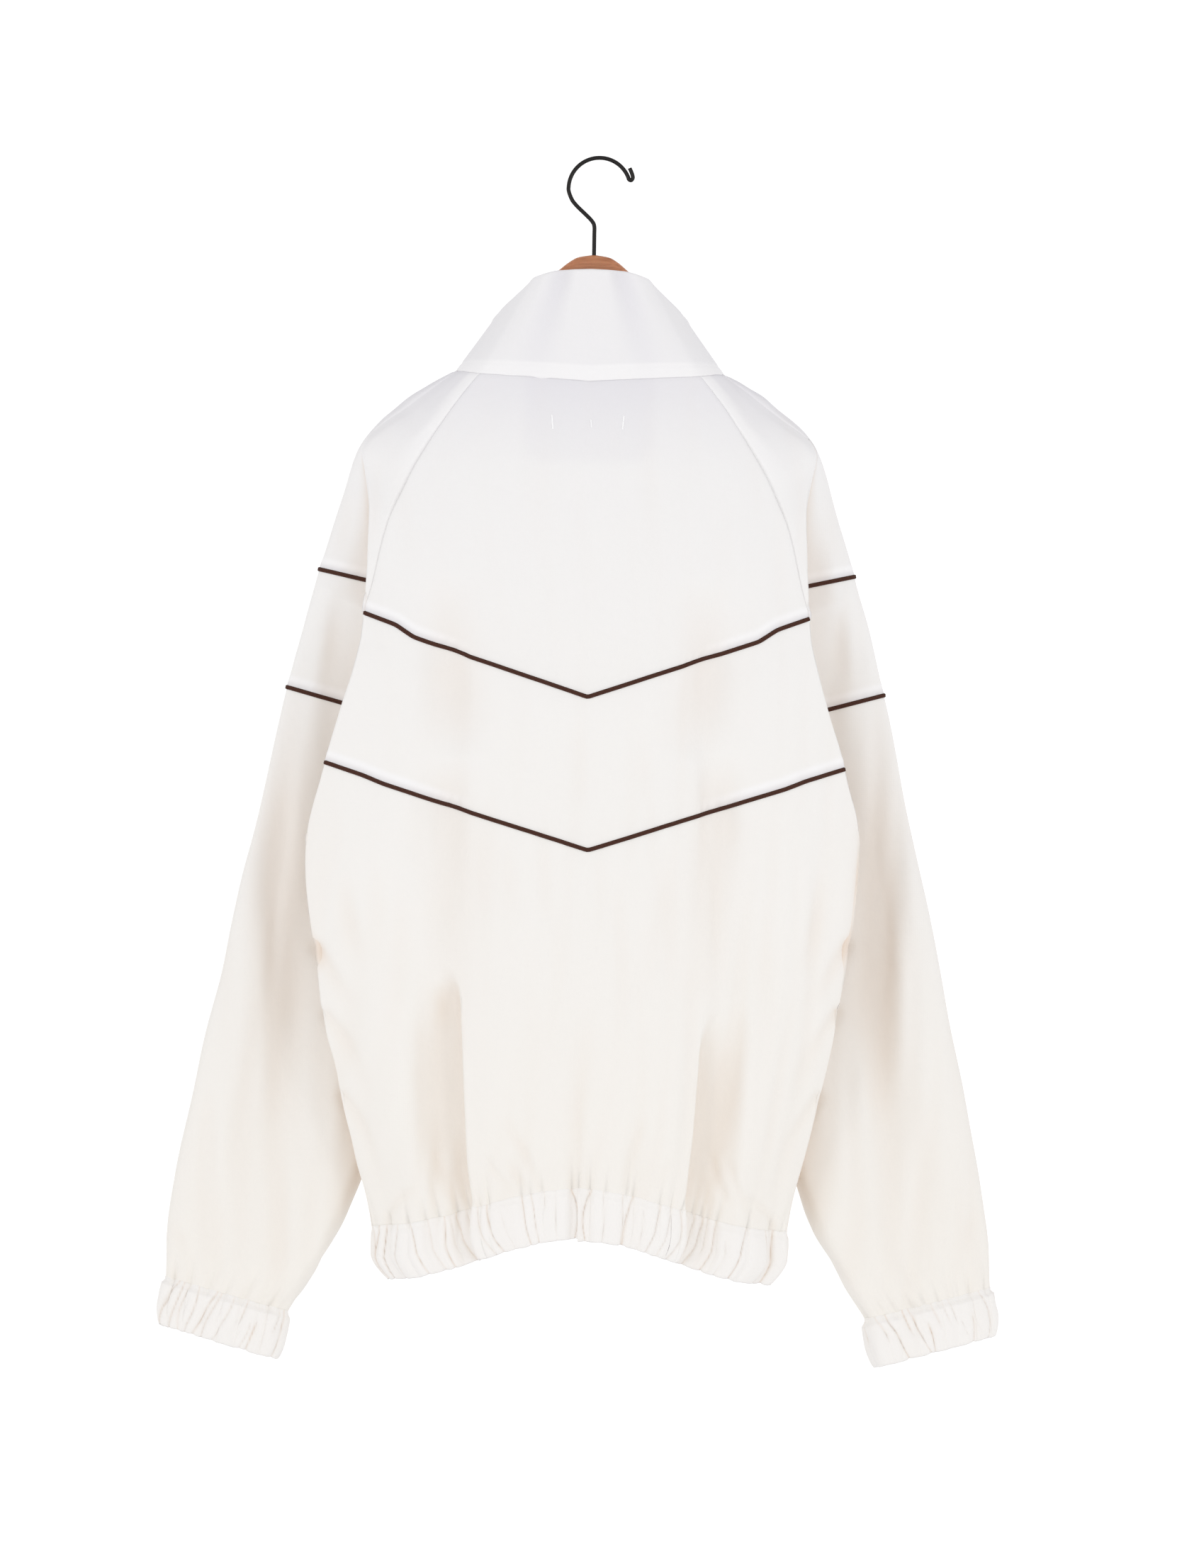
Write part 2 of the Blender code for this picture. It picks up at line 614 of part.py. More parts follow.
def collar():
    """The right half of the stand collar, from centre back to the zip, on the neck seam."""
    half = patches["back_upper"].shape[1] // 2
    parts = (("back_upper", half), ("sleeve_upper_right", 1), ("front_upper_right", 1))
    edge = np.concatenate([patches[name][0][first:] for name, first in parts])
    facing = np.concatenate([normals[name][0][first:] for name, first in parts])
    length = np.concatenate(([0], np.cumsum(np.linalg.norm(np.diff(edge, axis=0), axis=1))))
    sleeve_columns = patches["sleeve_upper_right"].shape[1]
    marks = [0, half, half + SLEEVE_OUTER, half + sleeve_columns - 1, len(edge) - 1]
    mark_shares = [length[m] / length[-1] for m in marks]
    shares = np.concatenate([np.linspace(a, b, n + 1)[:-1] for a, b, n in
                             zip(mark_shares, mark_shares[1:], COLLAR_COLUMNS)] + [[1.0]])
    line, way = share_out(edge, shares, facing)
    way = unit(way)
    turn = np.interp(shares, mark_shares, range(len(marks)))
    top = np.array([read(COLLAR_TOP, t, "x", "y", "z") for t in turn])
    outward = unit(way * np.array((1, 1, 0)))
    away_from_ends = np.clip(np.minimum(turn / .8, (turn[-1] - turn) / .6), 0, 1)
    trough = COLLAR_TROUGH * np.array([bump(t, .55, .3, .3) for t in turn])
    rows, faces = [], []
    for up in (1, .75, .5, .25, 0):
        swell = COLLAR_SWELL * math.sin(math.pi * up) * away_from_ends
        rows.append(line + (top - line) * up + outward * (swell - trough * up)[:, None])
        faces.append(way * (1 - up) + outward * up)
    return np.array(rows), unit(np.array(faces))


half_stand, half_facing = collar()
half_stand[-1] += unit(half_stand[-2] - half_stand[-1]) * SEAM_GAP / 2
stand = whole_back(half_stand)
stand_facing = whole_back(half_facing)
wall("collar", stand, stand - stand_facing * COLLAR_CLOTH, SHELL)


# Piping: a low half-round strip over each piped seam, made from the seam's own points

def piping(name, above, below, facing, ends=(PIPING_END, PIPING_END)):
    """A strip on the line between two patches, given their rows next to it and how far short it stops."""
    seam, up, down = above[-1], above[-2] - above[-1], below[1] - below[0]
    half = PIPING_WIDTH / 2
    stand_off = np.full(len(seam), SEAM_GAP)
    for way in (up, down):
        twist = np.abs(((way[1:] - way[:-1]) * facing[1:]).sum(axis=1)) + np.abs(
            ((way[1:] - way[:-1]) * facing[:-1]).sum(axis=1))
        share = half / np.linalg.norm(way, axis=1)
        stand_off[1:] = np.maximum(stand_off[1:], SEAM_GAP + 0.5 * twist * share[1:])
        stand_off[:-1] = np.maximum(stand_off[:-1], SEAM_GAP + 0.5 * twist * share[:-1])
    rows = np.array([seam + unit(up) * half, seam, seam + unit(down) * half])
    length = np.linalg.norm(np.diff(seam, axis=0), axis=1)
    total = np.concatenate(([0], np.cumsum(length)))
    first, last = ends[0], total[-1] - ends[1]
    keep = np.array([first] + [t for t in total[1:-1] if first + 2 < t < last - 2] + [last])
    rows = np.array([np.stack([np.interp(keep, total, c) for c in row.T], axis=1) for row in rows])
    way = np.stack([np.interp(keep, total, c) for c in facing.T], axis=1)
    way = unit(way)
    inner = rows + way * np.interp(keep, total, stand_off)[:, None]
    rise = np.array((0.55, 1, 0.55))[:, None, None] * PIPING_HEIGHT
    wall(name, inner + way * rise, inner, PIPING)


piping("piping_back_upper", patches["back_upper"], patches["back_middle"][:, 2:-2], normals["back_upper"][-1])
piping("piping_back_lower", patches["back_middle"], patches["back_lower"], normals["back_lower"][0])
for side in ("left", "right"):
    order = 1 if side == "right" else -1
    for level, above, below in (("upper", "upper", "middle"), ("lower", "middle", "lower")):
        ends = (PIPING_TUCK if level == "upper" else PIPING_END, PIPING_END)[::order]
        piping(f"piping_front_{level}_{side}", patches[f"front_{above}_{side}"],
               patches[f"front_{below}_{side}"], normals[f"front_{below}_{side}"][0], ends)
    columns = slice(2, None) if side == "right" else slice(None, -2)
    piping(f"piping_sleeve_upper_{side}", patches[f"sleeve_upper_{side}"][:, columns],
           patches[f"sleeve_middle_{side}"], normals[f"sleeve_middle_{side}"][0],
           (PIPING_END, PIPING_TUCK)[::order])
    piping(f"piping_sleeve_lower_{side}", patches[f"sleeve_middle_{side}"],
           patches[f"sleeve_lower_{side}"], normals[f"sleeve_lower_{side}"][0])


# Zip: a tape behind each front edge, from the collar's top to the hem, with the slider drawn up into the collar

def zip_tape():
    """The right tape, made from the front edge's own points and moved in behind the walls there."""
    pieces = [(half_stand[:-1], half_facing[:-1], COLLAR_CLOTH)]
    for name in ("front_upper_right", "front_middle_right", "front_lower_right"):
        skip = 0 if name == "front_upper_right" else 1
        pieces.append((patches[name][skip:], normals[name][skip:], CLOTH))
    pieces.append((band[1:], band_facing[1:], BAND_CLOTH - GATHER_HOLLOW * GATHER_DEPTH))
    outer, facing = [], []
    for rows, ways, thickness in pieces:
        for row, way in zip(rows, ways):
            line = row[::-1]
            length = np.concatenate(([0], np.cumsum(np.linalg.norm(np.diff(line, axis=0), axis=1))))
            far = np.array([np.interp(TAPE_WIDTH - ZIP_REVEAL, length, c) for c in line.T])
            near = line[0] * (0, 1, 1) + (SEAM_GAP / 2, 0, 0)
            outer.append([near, line[0], far])
            facing.append((way[-1], thickness + SEAM_GAP))
    depth = np.array([d for _, d in facing])
    depth[1:-1] = np.maximum(depth[1:-1], np.maximum(depth[:-2], depth[2:]))
    ways = unit(np.array([w for w, _ in facing]) * (0, 1, 1))[:, None, :]
    outer = np.array(outer) - ways * depth[:, None, None]
    return outer, outer - ways * TAPE_CLOTH


tape, tape_inner = zip_tape()
wall("zip_tape_right", tape[:, ::-1], tape_inner[:, ::-1], TAPE)
wall("zip_tape_left", mirror(tape[:, ::-1]), mirror(tape_inner[:, ::-1]), TAPE)


def block(bm, low, high):
    """A plain block between two corners."""
    made = bmesh.ops.create_cube(bm, size=1)["verts"]
    low, high = np.array(low, float), np.array(high, float)
    for v in made:
        v.co = (low + high) / 2 + np.array(v.co) * (high - low)
    return made


def joined(name, pieces, finish):
    """One closed body from blocks and pins that run into one another."""
    solids = []
    for k, build in enumerate(pieces):
        bm = bmesh.new()
        build(bm)
        solids.append(add_mesh(f"{name}_{k}", bm, finish))
    first = solids[0]
    for other in solids[1:]:
        cut = first.modifiers.new(other.name, "BOOLEAN")
        cut.operation, cut.solver, cut.object = "UNION", "EXACT", other
    graph = bpy.context.evaluated_depsgraph_get()
    mesh = bpy.data.meshes.new_from_object(first.evaluated_get(graph))
    for solid in solids:
        bpy.data.objects.remove(solid, do_unlink=True)
    made = bpy.data.objects.new(name, mesh)
    jacket.objects.link(made)
    return made


slider_z = COLLAR_TOP["z"][-1] - SLIDER_DROP
slider_y = np.interp(-slider_z, -tape[:, 0, 2], tape[:, 0, 1]) + SLIDER_CLEAR
crown_y = slider_y + SLIDER_THICK
pin_y = crown_y + CROWN_GAP / 2


def slider():
    """The slider's flat body, and the crown over it that the pull's pin passes under."""
    half = SLIDER_HEIGHT / 2
    crown = CROWN_LENGTH / 2
    top = crown_y + CROWN_GAP
    return [
        lambda bm: block(bm, (-SLIDER_WIDTH / 2, slider_y, slider_z - half),
                         (SLIDER_WIDTH / 2, crown_y, slider_z + half)),
        lambda bm: block(bm, (-CROWN_WIDTH / 2, crown_y - 0.5, slider_z + crown - 1.2),
                         (CROWN_WIDTH / 2, top + 1, slider_z + crown)),
        lambda bm: block(bm, (-CROWN_WIDTH / 2, crown_y - 0.5, slider_z - crown),
                         (CROWN_WIDTH / 2, top + 1, slider_z - crown + 1.2)),
        lambda bm: block(bm, (-CROWN_WIDTH / 2, top, slider_z - crown + 0.4),
                         (CROWN_WIDTH / 2, top + 1, slider_z + crown - 0.4)),
    ]


def pull():
    """The pull tab: a pin under the crown, an arm on each side of it and a plate hanging down."""
    arm_in, arm_out = CROWN_WIDTH / 2 + 0.4, PULL_WIDTH / 2
    thick = PULL_THICK / 2
    shoulder = slider_z - CROWN_LENGTH / 2 - 0.8

    def pin(bm):
        made = bmesh.ops.create_cone(bm, cap_ends=True, segments=12, radius1=PIN_RADIUS, radius2=PIN_RADIUS,
                                     depth=2 * arm_in + 1)["verts"]
        for v in made:
            v.co = (v.co.z, v.co.x + pin_y, v.co.y + slider_z)

    def arm(side):
        return lambda bm: block(bm, (min(side * arm_in, side * arm_out), pin_y - thick, shoulder - 1),
                                (max(side * arm_in, side * arm_out), pin_y + thick, slider_z + PULL_HEAD))

    return [
        lambda bm: block(bm, (-arm_out, pin_y - thick, slider_z - PULL_LENGTH), (arm_out, pin_y + thick, shoulder)),
        arm(1), arm(-1), pin]


joined("zip_slider", slider(), METAL)
joined("zip_pull", pull(), METAL)


# Hanger: a contoured wooden bar and its wire hook

def hanger_wood():
    """The bar, lofted through upright oval sections that thicken and drop towards its ends."""
    stops = sorted([-x for x in SHOULDER["x"][1:]] + list(SHOULDER["x"]))
    sides = 12
    bm = bmesh.new()
    rings = []
    for x in stops:
        top, thick, height = read(SHOULDER, abs(x), "top", "half_thick", "half_height")
        forward = 8 * (x / 184) ** 2
        ring = []
        for k in range(sides):
            a = 2 * math.pi * k / sides
            c, s = math.cos(a), math.sin(a)
            ring.append(bm.verts.new((x, forward + thick * math.copysign(abs(c) ** .75, c),
                                      top - height + height * math.copysign(abs(s) ** .75, s))))
        rings.append(ring)
    for a, b in zip(rings, rings[1:]):
        for k in range(sides):
            m = (k + 1) % sides
            bm.faces.new((a[k], a[m], b[m], b[k]))
    bm.faces.new(rings[0][::-1])
    bm.faces.new(rings[-1])
    bmesh.ops.recalc_face_normals(bm, faces=bm.faces)
    bmesh.ops.triangulate(bm, faces=bm.faces)
    return add_mesh("hanger_wood", bm, WOOD)


def hanger_hook():
    """The hook: a straight stem, an S-bend and a bow, with the wire's end turned back outward."""
    middle_x = HOOK_OFFSET
    middle_z = WIRE / 2 - HOOK_RADIUS
    route = [(0, WOOD_TOP + SEAM_GAP), (0, -55.5), (-1.2, -51.6), (-4.6, -48.0)]
    for degrees in range(228, 21, -12):
        a = math.radians(degrees)
        route.append((middle_x + HOOK_RADIUS * math.cos(a), middle_z + HOOK_RADIUS * math.sin(a)))
    tip_x, tip_z = route[-1]
    route += [(tip_x + 1.6, tip_z - 2.6), (tip_x + 4.0, tip_z - 2.9), (tip_x + 4.6, tip_z - .2),
              (tip_x + 3.6, tip_z + 5.2)]
    data = bpy.data.curves.new("hanger_hook", "CURVE")
    data.dimensions = "3D"
    data.bevel_depth = WIRE / 2 * MM
    data.bevel_resolution = 2
    data.use_fill_caps = True
    spline = data.splines.new("POLY")
    spline.points.add(len(route) - 1)
    for p, (x, z) in zip(spline.points, route):
        p.co = (x * MM, 0, z * MM, 1)
    data.materials.append(WIRE_BLACK)
    made = bpy.data.objects.new("hanger_hook", data)
    jacket.objects.link(made)
    return made


hanger_wood()
hanger_hook()
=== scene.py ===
"""Track jacket in pale coated cotton with dark piped seams, zipped shut on a wooden hanger and seen from behind.

The jacket's back faces -Y and its zip +Y. Lengths are written in millimetres; the frame is in metres, +Z up.
"""
import math

import bpy
import numpy as np
from mathutils.bvhtree import BVHTree
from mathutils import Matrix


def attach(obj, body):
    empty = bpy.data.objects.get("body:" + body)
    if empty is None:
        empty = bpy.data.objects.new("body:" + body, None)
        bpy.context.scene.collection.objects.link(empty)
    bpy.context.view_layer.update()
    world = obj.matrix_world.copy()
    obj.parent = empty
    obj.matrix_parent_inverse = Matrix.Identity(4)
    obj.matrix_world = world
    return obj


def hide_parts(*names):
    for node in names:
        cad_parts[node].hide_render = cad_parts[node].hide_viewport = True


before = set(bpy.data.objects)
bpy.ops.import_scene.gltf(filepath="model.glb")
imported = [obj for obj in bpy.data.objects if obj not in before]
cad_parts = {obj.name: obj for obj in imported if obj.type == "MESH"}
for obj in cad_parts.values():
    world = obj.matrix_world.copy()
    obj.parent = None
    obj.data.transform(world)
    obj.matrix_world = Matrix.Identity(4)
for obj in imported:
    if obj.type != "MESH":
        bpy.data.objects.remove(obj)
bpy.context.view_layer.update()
MM = 0.001
JACKET = "jacket_and_hanger"


# The photograph's view: a very long lens level with the middle of the jacket, so that its depth hardly changes its
# outline. The picture is turned a little, because the hanger hangs a little askew on its rail.
PHOTO_WIDTH = 1661
MM_PER_PIXEL = 0.58
DISTANCE = 12000
VIEW_X, VIEW_Z = 3.5, -510.7
ASKEW = math.radians(0.8)

lens = bpy.data.cameras.new("long_lens")
lens.sensor_fit = "HORIZONTAL"
lens.lens = lens.sensor_width * DISTANCE / (PHOTO_WIDTH * MM_PER_PIXEL)
lens.clip_end = 40
camera = bpy.data.objects.new("camera", lens)
camera.location = (VIEW_X * MM, -DISTANCE * MM, VIEW_Z * MM)
camera.rotation_euler = (math.pi / 2, -ASKEW, 0)
bpy.context.scene.collection.objects.link(camera)
bpy.context.scene.camera = camera
bpy.context.scene.view_settings.view_transform = "Standard"


# The studio: a pale floor well below the jacket and bright air all round it, a little dimmer and cooler overhead, so
# that only folds and slopes shade the cloth. Two wide soft lights stand low beside the camera.
def linear(colour):
    """An sRGB hex colour as linear red, green, blue and alpha."""
    parts = [int(colour[k:k + 2], 16) / 255 for k in (0, 2, 4)]
    return tuple(c / 12.92 if c <= 0.04045 else ((c + 0.055) / 1.055) ** 2.4 for c in parts) + (1.0,)


def node(tree, kind, inputs, **settings):
    """Adds a shader node. An input is a value, or the output that feeds it."""
    made = tree.nodes.new("ShaderNode" + kind)
    for name, value in settings.items():
        setattr(made, name, value)
    for name, value in inputs.items():
        if isinstance(value, bpy.types.NodeSocket):
            tree.links.new(value, made.inputs[name])
        else:
            made.inputs[name].default_value = value
    return made


def new_material(name):
    """An empty material, its node tree, its shader, and the place on the object that its textures follow."""
    made = bpy.data.materials.new(name)
    made.use_nodes = True
    tree = made.node_tree
    return made, tree, tree.nodes["Principled BSDF"], node(tree, "TexCoord", {}).outputs["Object"]


def ramp(tree, amount, *stops):
    """The colours of a ramp over an amount, from the place and sRGB colour of each of its stops."""
    made = node(tree, "ValToRGB", {"Fac": amount})
    elements = made.color_ramp.elements
    for k, (place, colour) in enumerate(stops):
        stop = elements[0] if k == 0 else elements[-1] if k == len(stops) - 1 else elements.new(place)
        stop.position = place
        stop.color = linear(colour)
    return made.outputs["Color"]


def add_piece(name, points, faces, finish, smooth=True):
    """A mesh object from points in millimetres."""
    mesh = bpy.data.meshes.new(name)
    mesh.from_pydata((np.asarray(points, float) * MM).tolist(), [], faces)
    mesh.polygons.foreach_set("use_smooth", [smooth] * len(mesh.polygons))
    mesh.materials.append(finish)
    made = bpy.data.objects.new(name, mesh)
    bpy.context.scene.collection.objects.link(made)
    return made


FLOOR_HEIGHT = -1500
FLOOR_RADIUS = 3800

paint, tree, shader, place = new_material("matt_floor_paint")
# roller marks 30 mm apart
roller = node(tree, "TexNoise", {"Vector": place, "Scale": 33.0, "Detail": 3.0})
tones = ramp(tree, roller.outputs["Fac"], (0, "F2F2F2"), (1, "F8F8F8"))
tree.links.new(tones, shader.inputs["Base Color"])
shader.inputs["Roughness"].default_value = 0.9
shader.inputs["Emission Color"].default_value = linear("FFFFFF")
shader.inputs["Emission Strength"].default_value = 0.12
rim = [(FLOOR_RADIUS * math.cos(math.pi * k / 48), FLOOR_RADIUS * math.sin(math.pi * k / 48), FLOOR_HEIGHT)
       for k in range(96)]
floor = add_piece("studio_floor", rim, [list(range(96))], paint)


def soft_light(name, place, aim, size, power, colour):
    """A square soft box at a place in metres, turned to its aim."""
    made = bpy.data.lights.new(name, "AREA")
    made.size = size
    made.energy = power
    made.color = linear(colour)[:3]
    box = bpy.data.objects.new(name, made)
    box.location = place
    way = np.array(aim, float) - np.array(place, float)
    box.rotation_euler = (math.acos(-way[2] / np.linalg.norm(way)), 0, math.atan2(way[1], way[0]) - math.pi / 2)
    bpy.context.scene.collection.objects.link(box)


soft_light("soft_box_left", (-2.6, -4.2, -0.9), (0, 0, -0.6), 0.9, 10.5, "FFFFFF")
soft_light("soft_box_right", (2.6, -4.2, -0.9), (0, 0, -0.6), 0.9, 10.5, "FFFFFF")

surroundings = bpy.data.worlds.new("studio_air")
surroundings.use_nodes = True
tree = surroundings.node_tree
way = node(tree, "TexCoord", {})
parts = node(tree, "SeparateXYZ", {"Vector": way.outputs["Generated"]})
tones = ramp(tree, parts.outputs["Z"], (0.08, "FFFFFF"), (0.9, "BEBDC2"))
tree.links.new(tones, tree.nodes["Background"].inputs["Color"])
tree.nodes["Background"].inputs["Strength"].default_value = 1.15
bpy.context.scene.world = surroundings


# The hanger's bar: one piece of steamed beech, routed to a rounded section, thick at the shoulders, sanded and
# varnished. The jacket's yoke and sleeve heads rest on it; only its neck shows above the collar.
def table(columns, *rows):
    """Named columns of a table of sizes, each an array down its rows."""
    cells = np.array(rows, float)
    return {name: cells[:, k] for k, name in enumerate(columns.split())}


def smooth(at, values, x):
    """A cubic through the rows of a table that keeps their highs and lows."""
    step = np.diff(at)
    slope = np.diff(values) / step
    tangent = np.concatenate((slope[:1], np.zeros(len(at) - 2), slope[-1:]))
    for k in range(1, len(at) - 1):
        if slope[k - 1] * slope[k] > 0:
            a = 2 * step[k] + step[k - 1]
            b = step[k] + 2 * step[k - 1]
            tangent[k] = (a + b) / (a / slope[k - 1] + b / slope[k])
    k = np.clip(np.searchsorted(at, x) - 1, 0, len(at) - 2)
    t = (x - at[k]) / step[k]
    return (values[k] * (1 + 2 * t) * (1 - t) ** 2 + tangent[k] * step[k] * t * (1 - t) ** 2
            + values[k + 1] * t * t * (3 - 2 * t) + tangent[k + 1] * step[k] * t * t * (t - 1))


def read(sheet, x, *names):
    """The named columns of a table at one place, or at many, along its first column."""
    at = sheet[next(iter(sheet))]
    return [smooth(at, sheet[name], np.clip(x, at[0], at[-1])) for name in names]


WOOD_TOP = -77.7
BAR = table(
    "x      top    half_thick half_height",
    (0, WOOD_TOP, 7, 24),
    (12.6, -79.8, 7, 24),
    (20.3, -84.1, 7, 23.5),
    (27, -89.6, 7, 23),
    (46, -106, 7, 21),
    (70, -134, 7.5, 18),
    (92, -160, 8, 16),
    (111, -180, 9, 14),
    (147, -201, 12, 12),
    (170, -220, 15, 11),
    (183, -238.0, 14, 9))
STEM = 2.0               # the hook and the bar's neck stand this far to the side of the collar's middle
BAR_FORWARD = 8          # how far its ends are bent forward
BAR_SIDES = 28
BAR_SQUARENESS = 0.75


def beech():
    """Steamed beech under satin varnish: warm red-brown, fine long grain with short darker flecks, a soft gloss."""
    made, tree, shader, place = new_material("varnished_beech")
    # growth lines every 2 mm along the bar, drawn out 12 times in its length
    stretched = node(tree, "Mapping", {"Vector": place, "Scale": (40, 480, 480)})
    lines = node(tree, "TexNoise", {"Vector": stretched.outputs["Vector"], "Scale": 1.0, "Detail": 6.0,
                                    "Roughness": 0.62, "Distortion": 0.35})
    # rays of beech: flecks 1 mm long
    flecks = node(tree, "Mapping", {"Vector": place, "Scale": (700, 2600, 2600)})
    ray = node(tree, "TexNoise", {"Vector": flecks.outputs["Vector"], "Scale": 1.0, "Detail": 2.0})
    tones = ramp(tree, lines.outputs["Fac"], (0.3, "A8663F"), (0.72, "D28F64"))
    mixed = node(tree, "Mix", {"Factor": 0.22, "A": tones, "B": ray.outputs["Color"]},
                 data_type="RGBA", blend_type="OVERLAY")
    bump = node(tree, "Bump", {"Height": lines.outputs["Fac"], "Strength": 0.12, "Distance": 0.0004})
    tree.links.new(mixed.outputs["Result"], shader.inputs["Base Color"])
    tree.links.new(bump.outputs["Normal"], shader.inputs["Normal"])
    shader.inputs["Roughness"].default_value = 0.42
    shader.inputs["Coat Weight"].default_value = 0.25
    shader.inputs["Coat Roughness"].default_value = 0.3
    return made


def hanger_bar():
    """Upright rounded sections along the bar."""
    half = np.concatenate((np.arange(0, 46, 2.0), np.arange(46, 183, 4.0), [180, 182, 183]))
    stops = np.concatenate((-half[:0:-1], half))
    angles = np.arange(BAR_SIDES) * 2 * math.pi / BAR_SIDES
    c, s = np.cos(angles), np.sin(angles)
    points = []
    for x in stops:
        top, thick, height = read(BAR, abs(x), "top", "half_thick", "half_height")
        end = math.sqrt(1 - max(0, (abs(x) - 177) / 6.6) ** 2)
        y = BAR_FORWARD * (x / 184) ** 2 + end * thick * np.sign(c) * np.abs(c) ** BAR_SQUARENESS
        z = top - height + end * height * np.sign(s) * np.abs(s) ** BAR_SQUARENESS
        points += [(x + STEM * math.exp(-(x / 60) ** 2), b, h) for b, h in zip(y, z)]
    faces = []
    for k in range(len(stops) - 1):
        for m in range(BAR_SIDES):
            n = (m + 1) % BAR_SIDES
            faces.append((k * BAR_SIDES + m, (k + 1) * BAR_SIDES + m, (k + 1) * BAR_SIDES + n, k * BAR_SIDES + n))
    faces.append(list(range(BAR_SIDES)))
    faces.append([(len(stops) - 1) * BAR_SIDES + m for m in range(BAR_SIDES)][::-1])
    return add_piece("hanger_bar", points, faces, beech())


def fit(piece, cad_node=None):
    """Has a piece ride with the jacket in its slot and stand for a solid, if one is named."""
    if cad_node:
        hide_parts(cad_node)
    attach(piece, JACKET)


fit(hanger_bar(), "hanger_wood")


# The hook: steel wire, blackened and lacquered, bent cold with its end turned back on itself so that it
# doesn't catch. It screws into the top of the bar.
WIRE = 3.4
HOOK_RADIUS = 25.3
HOOK_OFFSET = 5.7        # from the middle to the bow's centre
END_ASIDE = 0.8          # the turned-back end lies this far behind the wire


def curve_through(points, steps=10):
    """A smooth open line through points, as a close row of points."""
    points = [np.asarray(p, float) for p in points]
    ends = [2 * points[0] - points[1]] + points + [2 * points[-1] - points[-2]]
    line = [points[0]]
    for p0, p1, p2, p3 in zip(ends, ends[1:], ends[2:], ends[3:]):
        t1 = math.sqrt(np.linalg.norm(p1 - p0)) + 1e-9
        t2 = t1 + math.sqrt(np.linalg.norm(p2 - p1)) + 1e-9
        t3 = t2 + math.sqrt(np.linalg.norm(p3 - p2)) + 1e-9
        for k in range(1, steps + 1):
            t = t1 + (t2 - t1) * k / steps
            a1 = p0 + (p1 - p0) * t / t1
            a2 = p1 + (p2 - p1) * (t - t1) / (t2 - t1)
            a3 = p2 + (p3 - p2) * (t - t2) / (t3 - t2)
            b1 = a1 + (a2 - a1) * t / t2
            b2 = a2 + (a3 - a2) * (t - t1) / (t3 - t1)
            line.append(b1 + (b2 - b1) * (t - t1) / (t2 - t1))
    return np.array(line)


def blackened_steel():
    """Blackened and lacquered steel: nearly black, with a thin clear highlight along the wire."""
    made, tree, shader, place = new_material("blackened_steel")
    # drawing marks about 0.4 mm apart
    marks = node(tree, "TexNoise", {"Vector": place, "Scale": 1500.0, "Detail": 3.0})
    tones = ramp(tree, marks.outputs["Fac"], (0, "0E0C0B"), (1, "1E1A18"))
    gloss = node(tree, "MapRange", {"Value": marks.outputs["Fac"], "To Min": 0.16, "To Max": 0.28})
    tree.links.new(tones, shader.inputs["Base Color"])
    tree.links.new(gloss.outputs["Result"], shader.inputs["Roughness"])
    shader.inputs["Specular IOR Level"].default_value = 0.25
    return made


def hanger_hook():
    """The wire's middle line as a tube: stem, S-bend, bow and turned-back end."""
    centre_z = WIRE / 2 - HOOK_RADIUS
    bends = [(STEM, WOOD_TOP - 4), (STEM, -70), (STEM, -60), (STEM, -55.5), (STEM - .6, -52.5), (STEM - 2.8, -49.3),
             (-4.8, -45.3), (-9.2, -41.2), (-13.1, -37.4), (-16.6, -33.0)]
    for degrees in range(184, 19, -8):
        a = math.radians(degrees)
        bends.append((HOOK_OFFSET + HOOK_RADIUS * math.cos(a), centre_z + HOOK_RADIUS * math.sin(a)))
    x, z = bends[-1]
    bends += [(x + 1.0, z - 2.4), (x + 2.7, z - 3.0), (x + 4.0, z - 1.2), (x + 3.7, z + 1.2), (x + 2.6, z + 4.2),
              (x + 1.3, z + 7.0)]
    line = curve_through([(a, 0, b) for a, b in bends], 6)
    line[-36:, 1] -= np.linspace(0, 1, 36) * END_ASIDE
    made = bpy.data.curves.new("hanger_hook_wire", "CURVE")
    made.dimensions = "3D"
    made.bevel_depth = WIRE / 2 * MM
    made.bevel_resolution = 6
    made.use_fill_caps = True
    spline = made.splines.new("POLY")
    spline.points.add(len(line) - 1)
    for p, place in zip(spline.points, line):
        p.co = (*(place * MM), 1)
    made.materials.append(blackened_steel())
    piece = bpy.data.objects.new("hanger_hook_wire", made)
    bpy.context.scene.collection.objects.link(piece)
    return piece


fit(hanger_hook(), "hanger_hook")


# The shell: back, fronts and raglan sleeves, each cut in three and sewn with piped seams. It is one net of points
# on the outside of the cloth, with rows round the body or sleeve from the neck down, and columns from centre back
# round the side to the zip.
#
# The tables follow its rows, "at" counting the jacket's levels from the neck down: 1 is the
# end of the raglan seam, 2 the underarm, 3 the lower piping and 7 the hem or cuff. Their columns name points round each
# row: c centre back, r the raglan seam, e the fold at the back's edge, s the side seam or the sleeve's outer line,
# v and i the sleeve's hollow beside the back and its inner line, f the front end of the raglan seam, b and n the bends
# of the front and, with zn and yn, its height and depth at the zip.
YOKE = table(
    "at    zc    yc     xr     yr     zr      xf    yf    zf    zn    yn",
    (0.00, -182, -46.0, 90.7, -35.0, -176.6, 86, 40, -196, -232, 68.0),
    (.207, -235, -52.0, 117.7, -34.0, -213.0, 112, 44, -226, -275, 75.0),
    (.495, -310, -62.0, 149.2, -36.0, -267.7, 134, 50, -284, -330, 80.0),
    (.689, -360, -67.0, 165.5, -38.5, -307.0, 146, 44, -328, -380, 83.0),
    (.900, -414, -71.5, 176.4, -41.0, -352.0, 150, 30, -360, -425, 84.5),
    (1.00, -440, -74.0, 183.0, -42.0, -373.0, 151, 20, -374, -447, 85.0))
